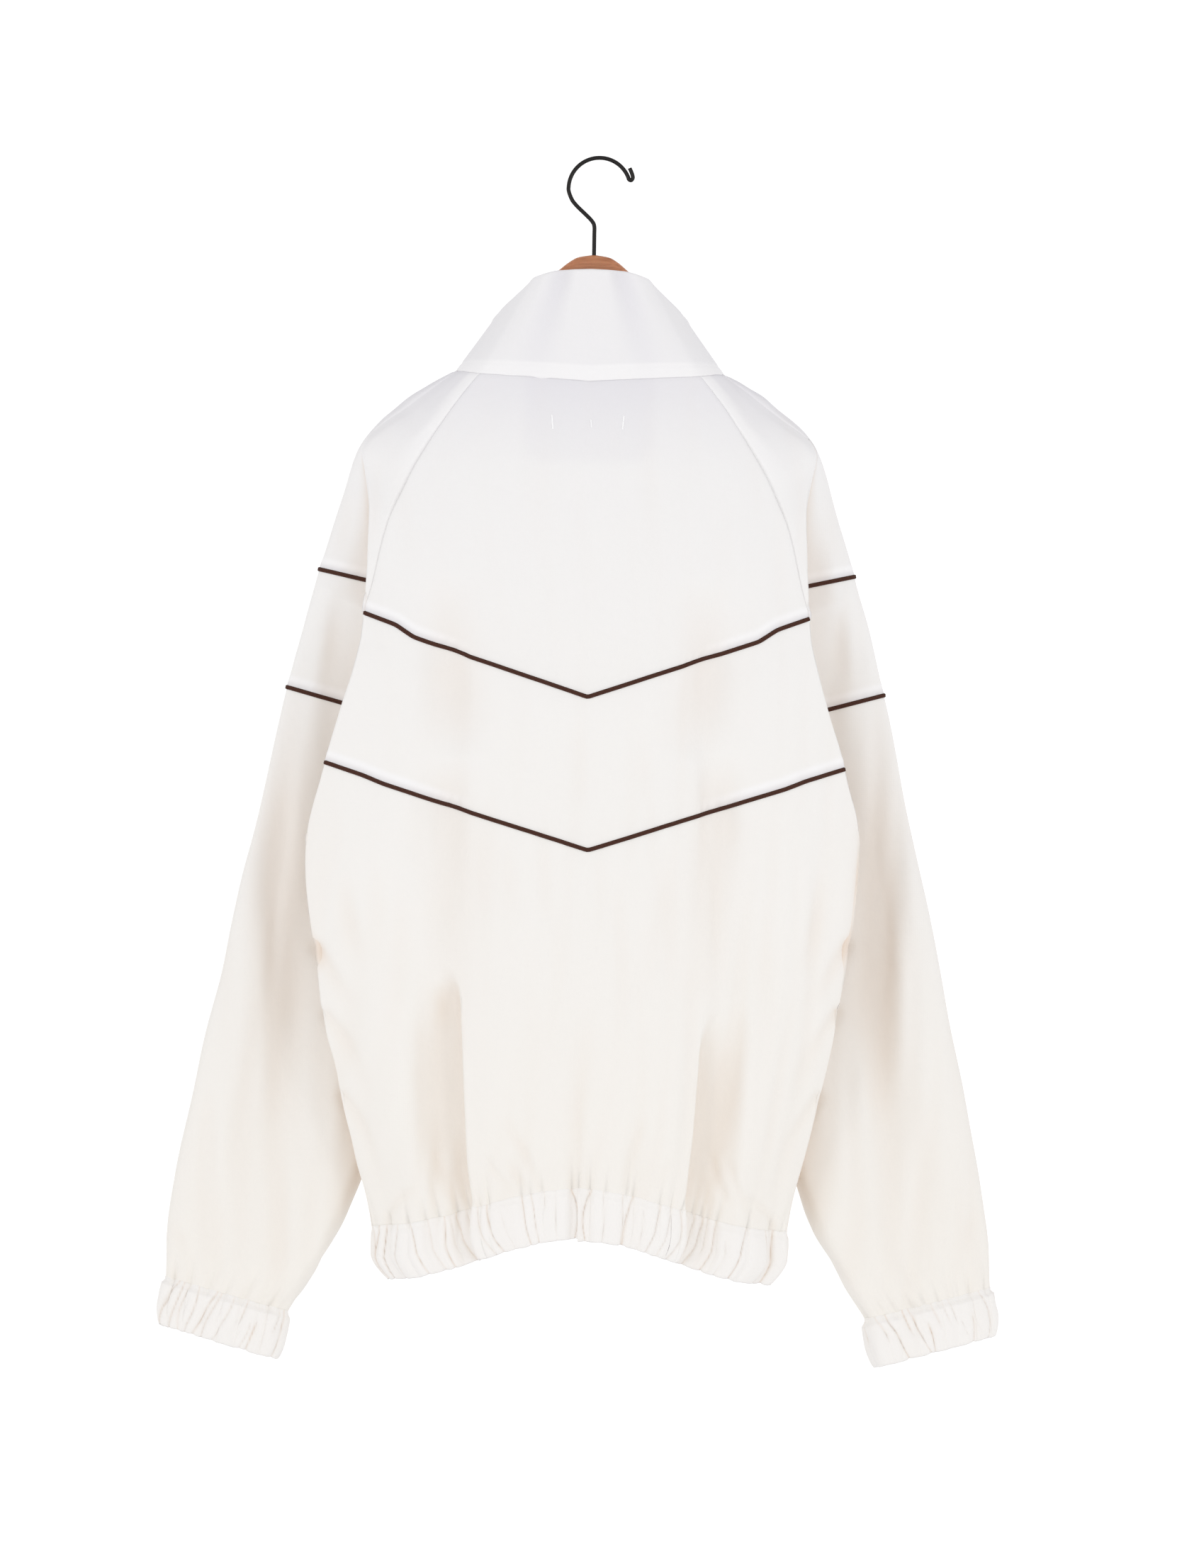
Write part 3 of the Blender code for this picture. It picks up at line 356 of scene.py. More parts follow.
BODY = table(
    "at  zc    yc     xe     ye   ze      xs     ys    zs     xn   yn  xb   yb  zn    yn0  round jog",
    (1, -440, -74.0, 183.0, -42, -373.0, 183.0, -42, -373.0, 140, 34, 112, 58, -447, 85, 0, .068),
    (2, -457, -75.5, 185.0, -44, -392.0, 150.0, 5, -388.0, 139, 24, 116, 58, -462, 85, .05, .05),
    (2.3, -488, -77.0, 191.0, -47, -418.0, 168.0, -16, -416.0, 134, 6, 114, 59, -492, 85.5, .02, .04),
    (3, -564, -82.0, 212.6, -46, -495.0, 206.0, -34, -497.0, 126, 1, 110, 60, -578, 86, 0, .02),
    (4, -650, -86.0, 229.0, -41, -572.0, 221.0, -29, -574.0, 125, 0, 108, 60, -655, 86, .3, 0),
    (5, -740, -88.0, 212.0, -34, -694.0, 204.0, -22, -696.0, 131, 8, 112, 62, -745, 84, .6, 0),
    (6, -800, -84.0, 189.0, -24, -796.0, 183.0, -11, -797.0, 148, 24, 116, 64, -792, 79, .9, 0),
    (7, -840, -74.0, 168.0, -12, -874.0, 167.0, 3, -874.0, 155, 34, 118, 62, -833, 70, 1, 0))
SLEEVE = table(
    "at     xe   ye   ze    xv   yv   zv    xs     ys   zs    xi   yi   zi    trough",
    (0.00, 104, -20, -174.5, 108, -11, -174, 111.0, 0, -174.0, 103, 22, -181, 0),
    (.207, 136, -17, -203.5, 142, -9, -199.5, 147.5, 3, -196.0, 138, 26, -206, 0),
    (.495, 184, -17, -245.0, 186, -9, -241.5, 189.0, 8, -239.0, 174, 35, -252, 0),
    (.689, 180, -33, -291.0, 169, -12, -284.0, 200.7, 14, -275.5, 172, 48, -293, 0),
    (.900, 181.5, -40, -347.0, 154, -3, -332.0, 213.4, 19, -317.0, 165, 54, -335, 1),
    (1.00, 183, -42, -373.0, 150, 0, -352.0, 219.8, 22, -337.0, 161, 56, -354, 2),
    (1.50, 168, -20, -381.0, 163, 0, -377.0, 223.4, 24, -350.0, 157, 57, -368, 2),
    (2.00, 150, 5, -388.0, 160, 3, -386.0, 227.0, 26, -363.0, 154, 58, -382, 3),
    (2.30, 147, 17, -410.0, 156.5, 9, -408.0, 232.6, 29, -384.0, 153, 62, -406, 4),
    (3.00, 141, 33, -462.0, 150, 15, -460.0, 245.7, 34, -434.0, 150, 68, -460, 6),
    (4.00, 134, 40, -591.0, 145, 14, -588.0, 273.5, 40, -559.0, 146, 76, -588, 12),
    (5.00, 148, 40, -735.0, 158, 15, -732.0, 304.0, 42, -699.0, 160, 75, -732, 11),
    (6.00, 190, 40, -868.0, 200, 15, -866.0, 331.0, 42, -838.0, 202, 70, -866, 6),
    (6.50, 216, 40, -915.0, 224, 16, -913.0, 338.0, 41, -890.0, 226, 66, -913, 3),
    (7.00, 237.6, 40, -946.0, 246, 22, -944.0, 337.6, 40, -920.0, 247, 60, -944, 0))
# Where the back falls in behind a straight fold edge on each side of its middle: the edge's distance from centre
# back, how deep the cloth lies beside it, how quickly it gets there, how wide it stays, and the lobe beyond
FOLD_RIGHT = table(
    "z    edge   depth quick wide lobe",
    (-850, 84.0, 18, 6, 46, 4),
    (-830, 85.5, 22, 6, 44, 6),
    (-800, 89.0, 23, 6, 44, 7),
    (-760, 92.0, 22, 6, 44, 7),
    (-728, 94.0, 17, 7, 44, 6),
    (-705, 97.0, 9.5, 12, 42, 5),
    (-680, 99.0, 5.0, 22, 38, 4),
    (-600, 92.0, 4.5, 26, 30, 2),
    (-545, 92.0, 6.5, 22, 30, 1.5),
    (-500, 82.0, 5.5, 24, 36, 1),
    (-470, 72.0, 5.0, 24, 44, 1),
    (-425, 76.0, 7.0, 24, 36, 0),
    (-390, 82.0, 4.0, 26, 34, 0),
    (-345, 82.0, 0, 26, 34, 0))
FOLD_LEFT = table(
    "z    edge   depth quick wide lobe",
    (-850, 83.0, 17, 6, 50, 4),
    (-830, 85.0, 22, 6, 50, 6),
    (-800, 88.5, 24, 6, 52, 7),
    (-760, 91.5, 24, 6, 54, 7),
    (-715, 94.5, 22, 6, 54, 6),
    (-690, 96.5, 16, 7, 48, 5),
    (-672, 101.0, 8.5, 12, 44, 4),
    (-650, 104.0, 4.0, 22, 40, 3),
    (-600, 92.0, 5.0, 26, 30, 2),
    (-545, 92.0, 7.5, 22, 32, 1.5),
    (-505, 92.0, 5.5, 24, 34, 1),
    (-470, 92.0, 6.0, 24, 32, 1),
    (-425, 92.0, 8.0, 22, 34, 0),
    (-390, 98.0, 4.0, 24, 30, 0),
    (-345, 98.0, 0, 26, 30, 0))
FOLD_LIP = 3.4           # how far the straight fold edge hangs over the hollow beside it
LOBE_PLACE = .78         # share of the back's half width where the lobe stands
JOG_PLACE = .77          # and where the piped seam steps up towards the side, over the next
JOG_WIDTH = .08
ZIP_REVEAL = 3.2
CLOTH = 0.8              # the coated cotton itself


def point(sheet, at, letter):
    """The point that a table's three columns of one letter give."""
    return np.array(read(sheet, at, "x" + letter, "y" + letter, "z" + letter))


def unit(vectors):
    """The same vectors, each of length one."""
    return vectors / np.maximum(np.linalg.norm(vectors, axis=-1, keepdims=True), 1e-9)


def bump(x, centre, before, after):
    """A soft rise to 1 at its centre, with its own width on each side."""
    width = np.where(x < centre, before, after)
    return 0.5 * (1 + np.cos(np.pi * np.minimum(1, np.abs(x - centre) / width)))


def distances(line):
    """How far along a line each of its points lies."""
    return np.concatenate(([0], np.cumsum(np.linalg.norm(np.diff(line, axis=0), axis=1))))


def share_out(line, shares, *others):
    """Points at shares of a line's length, and what runs with the line at the same places."""
    length = distances(line)
    places = np.asarray(shares) * length[-1]
    out = [np.stack([np.interp(places, length, c) for c in np.asarray(v).T], axis=1) for v in (line,) + others]
    return out[0] if not others else out


def evenly(count, edge):
    """Shares of a width: evenly spaced, with a close pair at each end for the seam there."""
    return np.concatenate(([0, edge], np.linspace(0, 1, count + 1)[1:-1], [1 - edge, 1]))


def closer_near(places, count, edge):
    """Shares of a width, closer together near some places and with a close pair at each end."""
    fine = np.linspace(0, 1, 2001)
    crowd = 1 + sum(rise * np.exp(-((fine - at) / spread) ** 2) for at, rise, spread in places)
    run = np.concatenate(([0], np.cumsum((crowd[1:] + crowd[:-1]) / 2)))
    inner = np.interp(np.linspace(0, run[-1], count + 1), run, fine)[1:-1]
    return np.concatenate(([0, edge], inner, [1 - edge, 1]))


BACK_SHARES = closer_near(((.475, 2.6, .05),), 112, .006)
SIDE_SHARES = np.linspace(0, 1, 8)
FRONT_SHARES = evenly(56, .006)
FLAP_SHARES = np.array((0, .08, .25, .45, .65, .85, 1))
BEND_SHARES = np.linspace(0, 1, 8)
FACE_SHARES = 0.5 * np.linspace(0, 1, 52) + 0.5 * np.sin(np.linspace(0, np.pi / 2, 52))
UNDER_SHARES = np.linspace(0, 1, 12)

yoke_at = np.concatenate(([0, .005], np.linspace(0, .94, 92)[1:-1], np.linspace(.94, 1, 18)))
armhole_at = np.linspace(1, 2, 20)
chest_at = np.concatenate((armhole_at, np.linspace(2, 2.85, 36)[1:], np.linspace(2.85, 3, 18)[1:]))
arm_at = np.concatenate((armhole_at, np.linspace(2, 2.82, 28)[1:], np.linspace(2.82, 3, 16)[1:]))
skirt_at = np.concatenate((np.linspace(3, 6.4, 112)[:-1], np.linspace(6.4, 6.98, 26), [7]))
forearm_at = np.concatenate((np.linspace(3, 6.3, 124)[:-1], np.linspace(6.3, 6.98, 34), [7]))


def back_row(at, folds):
    """From centre back to the raglan seam, or to the fold at the back's edge."""
    if at < 1:
        zc, yc, xr, yr, zr = read(YOKE, at, "zc", "yc", "xr", "yr", "zr")
        jog, roundness = BODY["jog"][0] * at ** 3, 0
    else:
        zc, yc, xr, yr, zr, jog, roundness = read(BODY, at, "zc", "yc", "xe", "ye", "ze", "jog", "round")
    share = BACK_SHARES
    past = share - JOG_PLACE
    climb = np.where(past < 0, share - jog * share / JOG_PLACE, share - jog * np.maximum(0, 1 - past / JOG_WIDTH))
    climb = (1 - roundness) * climb + roundness * share * share * (3 - 2 * share)
    x, z = share * xr, zc + (zr - zc) * climb
    edge, depth, quick, wide, lobe = read(folds, z, "edge", "depth", "quick", "wide", "lobe")
    y = yc + (yr - yc) * share ** 2.2
    into = np.clip((x - edge) / quick, 0, 1)
    out_of = 0.5 * (1 + np.cos(np.pi * np.clip((x - edge - quick) / wide, 0, 1)))
    y += depth * np.where(x < edge + quick, into * into * (3 - 2 * into), out_of)
    y -= lobe * (bump(share, LOBE_PLACE, .2, .18) + 0.5 * bump(x / edge, .8, .6, .26))
    lip = np.clip((x - edge) / quick, -.35, 1)
    x = x + FOLD_LIP * np.clip((depth - 8) / 12, 0, 1) * np.sin(np.pi * 2 * (lip + .35) / 1.35)
    return np.stack((x, y, z), axis=1)


def through_middle(start, middle, end, shares):
    """A bent line from start to end past a middle point."""
    t = np.asarray(shares)[:, None]
    return start * (1 - t) * (1 - 2 * t) + middle * 4 * t * (1 - t) + end * t * (2 * t - 1)


def side_row(at):
    """From the fold at the back's edge round to the side seam."""
    fold, seam = point(BODY, at, "e"), point(BODY, at, "s")
    middle = (fold + seam) / 2 + np.array((1.5, 0, 0)) * min(1, at - 1)
    return through_middle(fold, middle, seam, SIDE_SHARES)


def front_row(at):
    """From the raglan or side seam to the zip."""
    if at <= 1:
        seam = point(YOKE, at, "f")
        zn, yn = read(YOKE, at, "zn", "yn")
        flat = [(s * seam[0], seam[1] + (yn - seam[1]) * (1 - s ** 3)) for s in (1, .92, .76, .4)]
    else:
        seam = point(BODY, at, "s")
        xn, ynn, xb, yb, zn, yn = read(BODY, at, "xn", "yn", "xb", "yb", "zn", "yn0")
        notch, turn = np.array((xn, ynn)), np.array((xb, yb))
        flat = [seam[:2], notch, turn, (0.5 * xb, yn - 3.5)]
        if at > 2.2:
            flat.insert(1, (seam[:2] + notch) / 2 + (0, -1))
    flat.append((ZIP_REVEAL, yn))
    line = share_out(curve_through([np.array((x, y, 0)) for x, y in flat]), FRONT_SHARES)
    line[:, 2] = seam[2] + (zn - seam[2]) * FRONT_SHARES
    return line


def sleeve_row(at):
    """From the fold at the back's edge, or the underarm seam, round the sleeve to the front or underarm seam."""
    start, valley, outer, inner = (point(SLEEVE, at, letter) for letter in "evsi")
    end = start
    if at <= 1:
        end = point(YOKE, at, "f")
    elif at < 2:
        end = (2 - at) * point(YOKE, 1, "f") + (at - 1) * point(SLEEVE, 2, "e")
    if 1 <= at <= 2:
        start = point(BODY, at, "s")
    trough = read(SLEEVE, at, "trough")[0]
    deep = min(1, max(0, at - 2))
    bend = through_middle(start, (start + valley) / 2 - np.array((2.0, 3.0, 0)) * deep, valley, BEND_SHARES)
    share = FACE_SHARES[:, None]
    away = 1 - np.sqrt(1 - FACE_SHARES ** 2)
    face = valley + (outer - valley) * share
    face[:, 1] = valley[1] + (outer[1] - valley[1]) * away + trough * bump(FACE_SHARES, .5, .34, .3)
    front = inner + (outer - inner) * share
    front[:, 1] = inner[1] + (outer[1] - inner[1]) * away
    under = through_middle(inner, (inner + end) / 2 + np.array((-2.0, 3.0, 0)) * deep, end, UNDER_SHARES)
    return np.concatenate((bend, face[1:], front[::-1][1:], under[1:]))


def mirror(patch):
    """The same patch on the jacket's other side, with its columns still running the same way round."""
    return patch[:, ::-1] * np.array((-1, 1, 1)) if patch.shape[-1] == 3 else patch[:, ::-1]


def joined(left, right):
    """Both halves of a piece across centre back, each worked out on the right."""
    return np.concatenate((mirror(left), right[:, 1:]), axis=1)


def upper_sleeve_row(at):
    """The strip of the sleeve that lies in the back, and then the sleeve."""
    seam, fold = point(YOKE, at, "r"), point(SLEEVE, at, "e")
    return np.concatenate((seam + (fold - seam) * FLAP_SHARES[:, None], sleeve_row(at)[1:]))


right_half = {
    "front_upper": [front_row(s) for s in yoke_at],
    "front_middle": [front_row(s) for s in chest_at],
    "front_lower": [front_row(s) for s in skirt_at],
    "sleeve_upper": [upper_sleeve_row(s) for s in yoke_at],
    "sleeve_middle": [sleeve_row(s) for s in arm_at],
    "sleeve_lower": [sleeve_row(s) for s in forearm_at],
}
right_half = {name: np.array(rows) for name, rows in right_half.items()}
# Down to the underarm the front is sewn to the sleeve, along the sleeve's own points
for row in range(len(armhole_at)):
    seam = right_half["sleeve_middle"][row][-1]
    fade = np.linspace(1, 0, len(FRONT_SHARES))[:, None] ** 2
    front = right_half["front_middle"][row]
    right_half["front_middle"][row] = front + (seam - front[0]) * fade
right_half["front_upper"][-1] = right_half["front_middle"][0]
patches = {"back_upper": joined(*(np.array([back_row(s, fold) for s in yoke_at]) for fold in (FOLD_LEFT, FOLD_RIGHT)))}
for name, stops in (("back_middle", chest_at), ("back_lower", skirt_at)):
    halves = [[np.concatenate((back_row(s, fold), side_row(s)[1:])) for s in stops] for fold in (FOLD_LEFT, FOLD_RIGHT)]
    patches[name] = joined(*np.array(halves))
for name, patch in right_half.items():
    patches[name + "_right"] = patch
    patches[name + "_left"] = mirror(patch)

# Points where panels are sewn together become one point of the net
stacked = np.concatenate([p.reshape(-1, 3) for p in patches.values()])
SAME_POINT = 0.05
keys = np.floor(stacked / SAME_POINT + 0.3713).astype(np.int64)
_, first, back_to = np.unique(keys, axis=0, return_index=True, return_inverse=True)
back_to = back_to.reshape(-1)
net = stacked[first]
numbers, start = {}, 0
for name, patch in patches.items():
    count = patch.shape[0] * patch.shape[1]
    numbers[name] = back_to[start:start + count].reshape(patch.shape[:2])
    start += count


def grid_numbers(rows):
    """The number of each point in rows of points."""
    return np.arange(rows.shape[0] * rows.shape[1]).reshape(rows.shape[:2])


def grid_faces(index, ring=False):
    """Faces over a grid of point numbers, leaving out corners that have run together."""
    if ring:
        index = np.concatenate((index, index[:, :1]), axis=1)
    quads = np.stack((index[:-1, :-1], index[1:, :-1], index[1:, 1:], index[:-1, 1:]), axis=-1).reshape(-1, 4)
    faces = []
    for quad in quads.tolist():
        corners = [c for k, c in enumerate(quad) if c != quad[k - 1]]
        if len(set(corners)) > 2:
            faces.append(corners)
    return faces


net_faces = [face for index in numbers.values() for face in grid_faces(index)]
sides = np.array([(min(a, b), max(a, b)) for face in net_faces for a, b in zip(face, face[1:] + face[:1])])
sides, uses = np.unique(sides, axis=0, return_counts=True)
edge_points = np.zeros(len(net), bool)
edge_points[sides[uses == 1].ravel()] = True


def relaxed(values, rounds, hold):
    """Values over the net with each drawn half way to the mean of its neighbours, apart from those held."""
    count = np.bincount(sides.ravel(), minlength=len(net)).astype(float)
    flat = values.reshape(len(net), -1)
    for _ in range(rounds):
        total = np.stack([np.bincount(sides[:, 0], column[sides[:, 1]], len(net))
                          + np.bincount(sides[:, 1], column[sides[:, 0]], len(net)) for column in flat.T], axis=1)
        flat = np.where(hold[:, None], flat, 0.5 * flat + 0.5 * total / count[:, None])
    return flat.reshape(values.shape)


def net_normals(points):
    """Outward normals at the points of the net."""
    triangles = np.array([(f[0], f[k], f[k + 1]) for f in net_faces for k in range(1, len(f) - 1)])
    a, b, c = (points[triangles[:, k]] for k in range(3))
    across = np.cross(b - a, c - a)
    total = np.stack([sum(np.bincount(triangles[:, k], across[:, axis], len(points)) for k in range(3))
                      for axis in range(3)], axis=1)
    return unit(total)


net = relaxed(net, 3, edge_points)


# Relief of the cloth, in millimetres outward
def from_edges(patch):
    """How far each point of a patch lies from its left, right, top and bottom edges, along the net."""
    across = np.linalg.norm(np.diff(patch, axis=1), axis=2)
    down = np.linalg.norm(np.diff(patch, axis=0), axis=2)
    left = np.concatenate((np.zeros((len(patch), 1)), np.cumsum(across, axis=1)), axis=1)
    top = np.concatenate((np.zeros((1, patch.shape[1])), np.cumsum(down, axis=0)), axis=0)
    return left, left[:, -1:] - left, top, top[-1:] - top


GROOVE = 0.7             # a plain seam's groove
GROOVE_WIDTH = 2.2
ALLOWANCE = 10.0         # width of the seam allowance pressed under the cloth
ALLOWANCE_LIFT = 0.35
RAGLAN_ALLOWANCE = 11.0
PIPING_SHADE_WIDTH = 5.0            # painted shade: the cloth next to a piping is greyer this close to the seam
SHOWN_FROM = 92          # a piped seam's allowance shows from this far off centre back
SHOWN_OVER = 26          # and comes in over this distance
FACING_CORNER = (36, -232)  # centre of the neck facing's rounded corner: 106 mm wide and 67 mm deep in all
FACING_ROUND = 17
SHOULDER_SHADE_FROM = -262      # above here the yoke greys towards its top: painted shade, where the shoulders slope up away from the light
CALM_BY_ZIP = (6, 14)    # the hem's gathers start this far from the zip, and come in over this distance

# Shallow creases in the hanging cloth, seen from behind: x, z, depth and half width at points along each. A depth
# below zero is a soft ridge. The second list lies on the fronts.
BACK_CREASES = (
    ((-9, -452, 0, 8), (-9, -480, 1.0, 8), (-8, -513, .8, 7), (-8, -532, 0, 7)),
    ((46, -466, 0, 7), (46.5, -495, .9, 7), (47, -526, 0, 7)),
    ((-66, -545, 0, 7), (-62, -590, 1.4, 7), (-58, -630, 0, 8)),
    ((68, -548, 0, 7), (64, -600, 1.5, 7), (56, -650, .8, 9), (50, -690, 0, 9)),
    ((30, -560, 0, 9), (26, -620, -.8, 9), (20, -690, 0, 9)),
    ((-30, -575, 0, 10), (-27, -640, -.8, 10), (-24, -700, 0, 10)),
    ((0, -685, 0, 8), (-2, -760, 1.5, 8), (-4, -832, 1.0, 7)),
    ((9, -235, 0, 7), (9, -275, -.8, 7), (8, -330, 0, 8)),
    ((-36, -196, 0, 9), (-38, -260, .6, 9), (-40, -330, 0, 12)),
    ((47, -200, 0, 9), (50, -270, .7, 9), (50, -350, 0, 12)),
    ((-108, -340, 0, 20), (-111, -380, 2.6, 20), (-108, -415, 4.2, 21), (-106, -445, 4.2, 22), (-104, -490, 0, 22)),
    ((96, -340, 0, 20), (96, -380, 2.6, 20), (98, -415, 4.2, 20), (94, -445, 4.0, 22), (84, -490, 0, 22)),
    ((-109, -490, 0, 17), (-112, -518, 3.4, 17), (-106, -550, 4.0, 19), (-103, -600, 3.0, 20), (-104, -665, 1.5, 20)),
    ((104, -485, 0, 17), (108, -516, 3.4, 18), (108, -548, 4.0, 19), (104, -600, 3.0, 19), (103, -665, 1.5, 19)),
    ((-161, -240, 0, 5), (-161, -285, -1.4, 5), (-160, -330, 0, 5)),
    ((-172, -240, 0, 4), (-174, -290, 1.5, 5), (-177, -330, 0, 5)),
    ((161, -240, 0, 6), (162, -285, -1.3, 6), (162, -330, 0, 6)),
    ((172, -255, 0, 5), (174, -300, 1.3, 5), (177, -340, 0, 5)),
    ((-171, -520, 0, 10), (-170, -580, -2.2, 10), (-168, -650, 0, 11)),
    ((171, -520, 0, 10), (170, -580, -2.2, 10), (168, -650, 0, 11)),
    ((-150, -590, 0, 9), (-148, -640, 1.4, 9), (-150, -720, .6, 9), (-152, -800, 0, 9)),
    ((150, -600, 0, 9), (149, -650, 1.3, 9), (152, -730, .5, 9), (152, -800, 0, 9)),
    ((-139, -670, 0, 8), (-138, -760, -1.5, 8), (-136, -850, 0, 8)),
    ((137, -690, 0, 8), (135, -770, -1.5, 8), (132, -850, 0, 8)),
    ((-196, -585, 0, 8), (-190, -625, 3.4, 8), (-182, -665, 0, 8)),
    ((197, -580, 0, 8), (191, -628, 3.0, 8), (184, -668, 0, 8)),
    ((-216, -648, 4.0, 6), (-204, -668, 3.4, 6), (-186, -700, 0, 7)),
    ((216, -640, 4.0, 6), (204, -662, 3.4, 6), (188, -690, 0, 7)),
    ((-208, -702, 3.6, 5), (-190, -728, 2.6, 6), (-172, -770, 0, 7)),
    ((209, -694, 3.6, 5), (191, -724, 2.6, 6), (174, -770, 0, 7)),
    ((-194, -768, 3.2, 5), (-174, -800, 2.2, 5), (-160, -850, 0, 6)),
    ((195, -764, 3.2, 5), (175, -797, 2.2, 5), (162, -850, 0, 6)),
    ((-156, -875, 2.4, 3), (-154, -863, 2.0, 3), (-141, -847, 1.6, 4), (-128, -842, 0, 5)),
    ((160, -877, 2.4, 3), (157, -863, 2.0, 3), (146, -852, 1.6, 4), (132, -846, 0, 5)),
    ((-112, -672, 0, 12), (-108, -690, 2.5, 10), (-104, -715, 0, 8)),
    ((-58, -780, 0, 5), (-55, -793, 1.6, 4.5), (-44, -812, 2.3, 4), (-33, -838, 1.4, 3.5)),
    ((50, -778, 0, 5), (49, -791, 1.6, 4.5), (43, -812, 2.3, 4), (38, -838, 1.4, 3.5)),
    ((-76, -812, 0, 3), (-72, -822, 1.3, 3), (-65, -832, 1.4, 3), (-57, -840, .8, 3)),
    ((-58, -815, 0, 3), (-54, -826, 1.3, 3), (-44, -839, 1.0, 3)),
    ((74, -812, 0, 4), (70, -825, 1.2, 4), (64, -838, .9, 4)),
    ((1, -740, 0, 3), (0, -780, .8, 2.5), (.5, -838, 1.3, 2.5)),
    ((-116, -806, 0, 4), (-113, -820, 1.5, 4), (-108, -846, .8, 4)),
    ((106, -806, 0, 4), (109, -820, 1.8, 4), (116, -841, 1.8, 4), (128, -856, 0, 4)),
    ((119, -808, 0, 4), (123, -822, 1.5, 4), (133, -847, 1.5, 4), (145, -864, .8, 4)),
    ((-239, -409, 0, 13), (-243, -500, 4.0, 16), (-248, -559, 8.5, 18), (-250, -606, 9, 18), (-247, -687, 6, 18),
     (-247, -757, 3.6, 14), (-248, -815, 2.8, 11), (-245, -902, 1.6, 8), (-244, -925, 0, 7)),
    ((240, -409, 0, 13), (243, -507, 4.5, 16), (243, -559, 8, 18), (244, -606, 9.5, 18), (242, -687, 7, 18),
     (247, -757, 4, 14), (253, -815, 2.8, 11), (260, -902, 1.6, 8), (262, -925, 0, 7)),
    ((-236, -700, 0, 8), (-238, -770, -1.6, 8), (-238, -850, 0, 8)),
    ((226, -700, 0, 8), (232, -770, -1.6, 8), (238, -850, 0, 8)),
    ((-273, -720, 0, 9), (-276, -800, 1.6, 9), (-276, -890, .8, 7), (-277, -925, 0, 6)),
    ((276, -730, 0, 9), (281, -810, 1.5, 9), (286, -890, .8, 7), (288, -925, 0, 6)),
    ((-310, -830, 0, 7), (-308, -870, 1.4, 6), (-305, -905, 1.0, 6), (-303, -925, 0, 6)),
    ((312, -820, 0, 7), (313, -865, 1.4, 6), (312, -905, 1.0, 6), (312, -925, 0, 6)),
    ((-335, -872, 0, 5), (-326, -890, 1.6, 5), (-318, -912, 0, 5)),
    ((330, -850, 0, 5), (322, -872, 1.6, 5), (318, -900, 0, 5)),
    ((-206, -350, 0, 9), (-208, -400, 2.0, 9), (-212, -430, 1.0, 9)),
    ((207, -350, 0, 9), (209, -400, 2.0, 9), (213, -430, 1.0, 9)),
    ((-200, -262, 0, 7), (-199, -300, 1.6, 7), (-204, -335, 0, 8)),
    ((202, -262, 0, 7), (201, -300, 1.6, 7), (205, -335, 0, 8)),
)
FRONT_CREASES = (
    ((-92, -330, 0, 14), (-88, -440, 3.0, 14), (-80, -560, 4.5, 15), (-74, -700, 5.0, 14), (-70, -828, 3.0, 10)),
    ((96, -340, 0, 14), (90, -450, 3.2, 14), (82, -570, 4.5, 15), (76, -700, 5.0, 14), (70, -828, 3.0, 10)),
    ((-40, -500, 0, 10), (-38, -620, 1.8, 10), (-36, -760, 1.6, 9), (-36, -830, 0, 8)),
    ((42, -480, 0, 10), (40, -610, 1.8, 10), (36, -750, 1.6, 9), (36, -830, 0, 8)),
    ((-28, -230, 0, 9), (-34, -300, 1.2, 10), (-44, -380, 0, 10)),
    ((28, -230, 0, 9), (33, -310, 1.2, 10), (45, -390, 0, 10)),
    ((-104, -560, 0, 9), (-108, -660, -2.0, 10), (-106, -780, 0, 9)),
    ((105, -560, 0, 9), (108, -670, -2.0, 10), (107, -790, 0, 9)),
    ((-212, -420, 0, 13), (-216, -520, 5, 16), (-222, -620, 7, 17), (-236, -740, 5, 15), (-256, -860, 2.5, 10),
     (-268, -930, 0, 8)),
    ((214, -420, 0, 13), (218, -530, 5, 16), (224, -630, 7, 17), (238, -745, 5, 15), (258, -860, 2.5, 10),
     (270, -930, 0, 8)),
    ((-250, -700, 0, 8), (-262, -790, -1.8, 8), (-278, -890, 0, 8)),
    ((251, -705, 0, 8), (264, -795, -1.8, 8), (280, -890, 0, 8)),
    ((-180, -330, 0, 9), (-186, -400, 2.2, 9), (-190, -450, 0, 9)),
    ((181, -330, 0, 9), (187, -400, 2.2, 9), (191, -450, 0, 9)),
)
CREASE_STEPS = 24


def crease_relief(points, outward, creases, sign):
    """The depth of creases at points of the cloth that face the side they are seen from."""
    relief = np.zeros(len(points))
    seen = np.clip(sign * outward[:, 1] * 1.4 + .35, 0, 1)
    for line in creases:
        line = np.array(line, float)
        reach = 3 * line[:, 3].max()
        near = np.nonzero((seen > 0) & (points[:, 0] > line[:, 0].min() - reach)
                          & (points[:, 0] < line[:, 0].max() + reach) & (points[:, 2] > line[:, 1].min() - reach)
                          & (points[:, 2] < line[:, 1].max() + reach))[0]
        if not len(near):
            continue
        path = curve_through(line, CREASE_STEPS)
        spot = points[near][:, (0, 2)]
        off = np.linalg.norm(spot[:, None, :] - path[None, :, :2], axis=2)
        closest = off.argmin(axis=1)
        depth, width = path[closest, 2], path[closest, 3]
        relief[near] -= depth * np.exp(-(off[np.arange(len(near)), closest] / width) ** 2) * seen[near]
    return relief


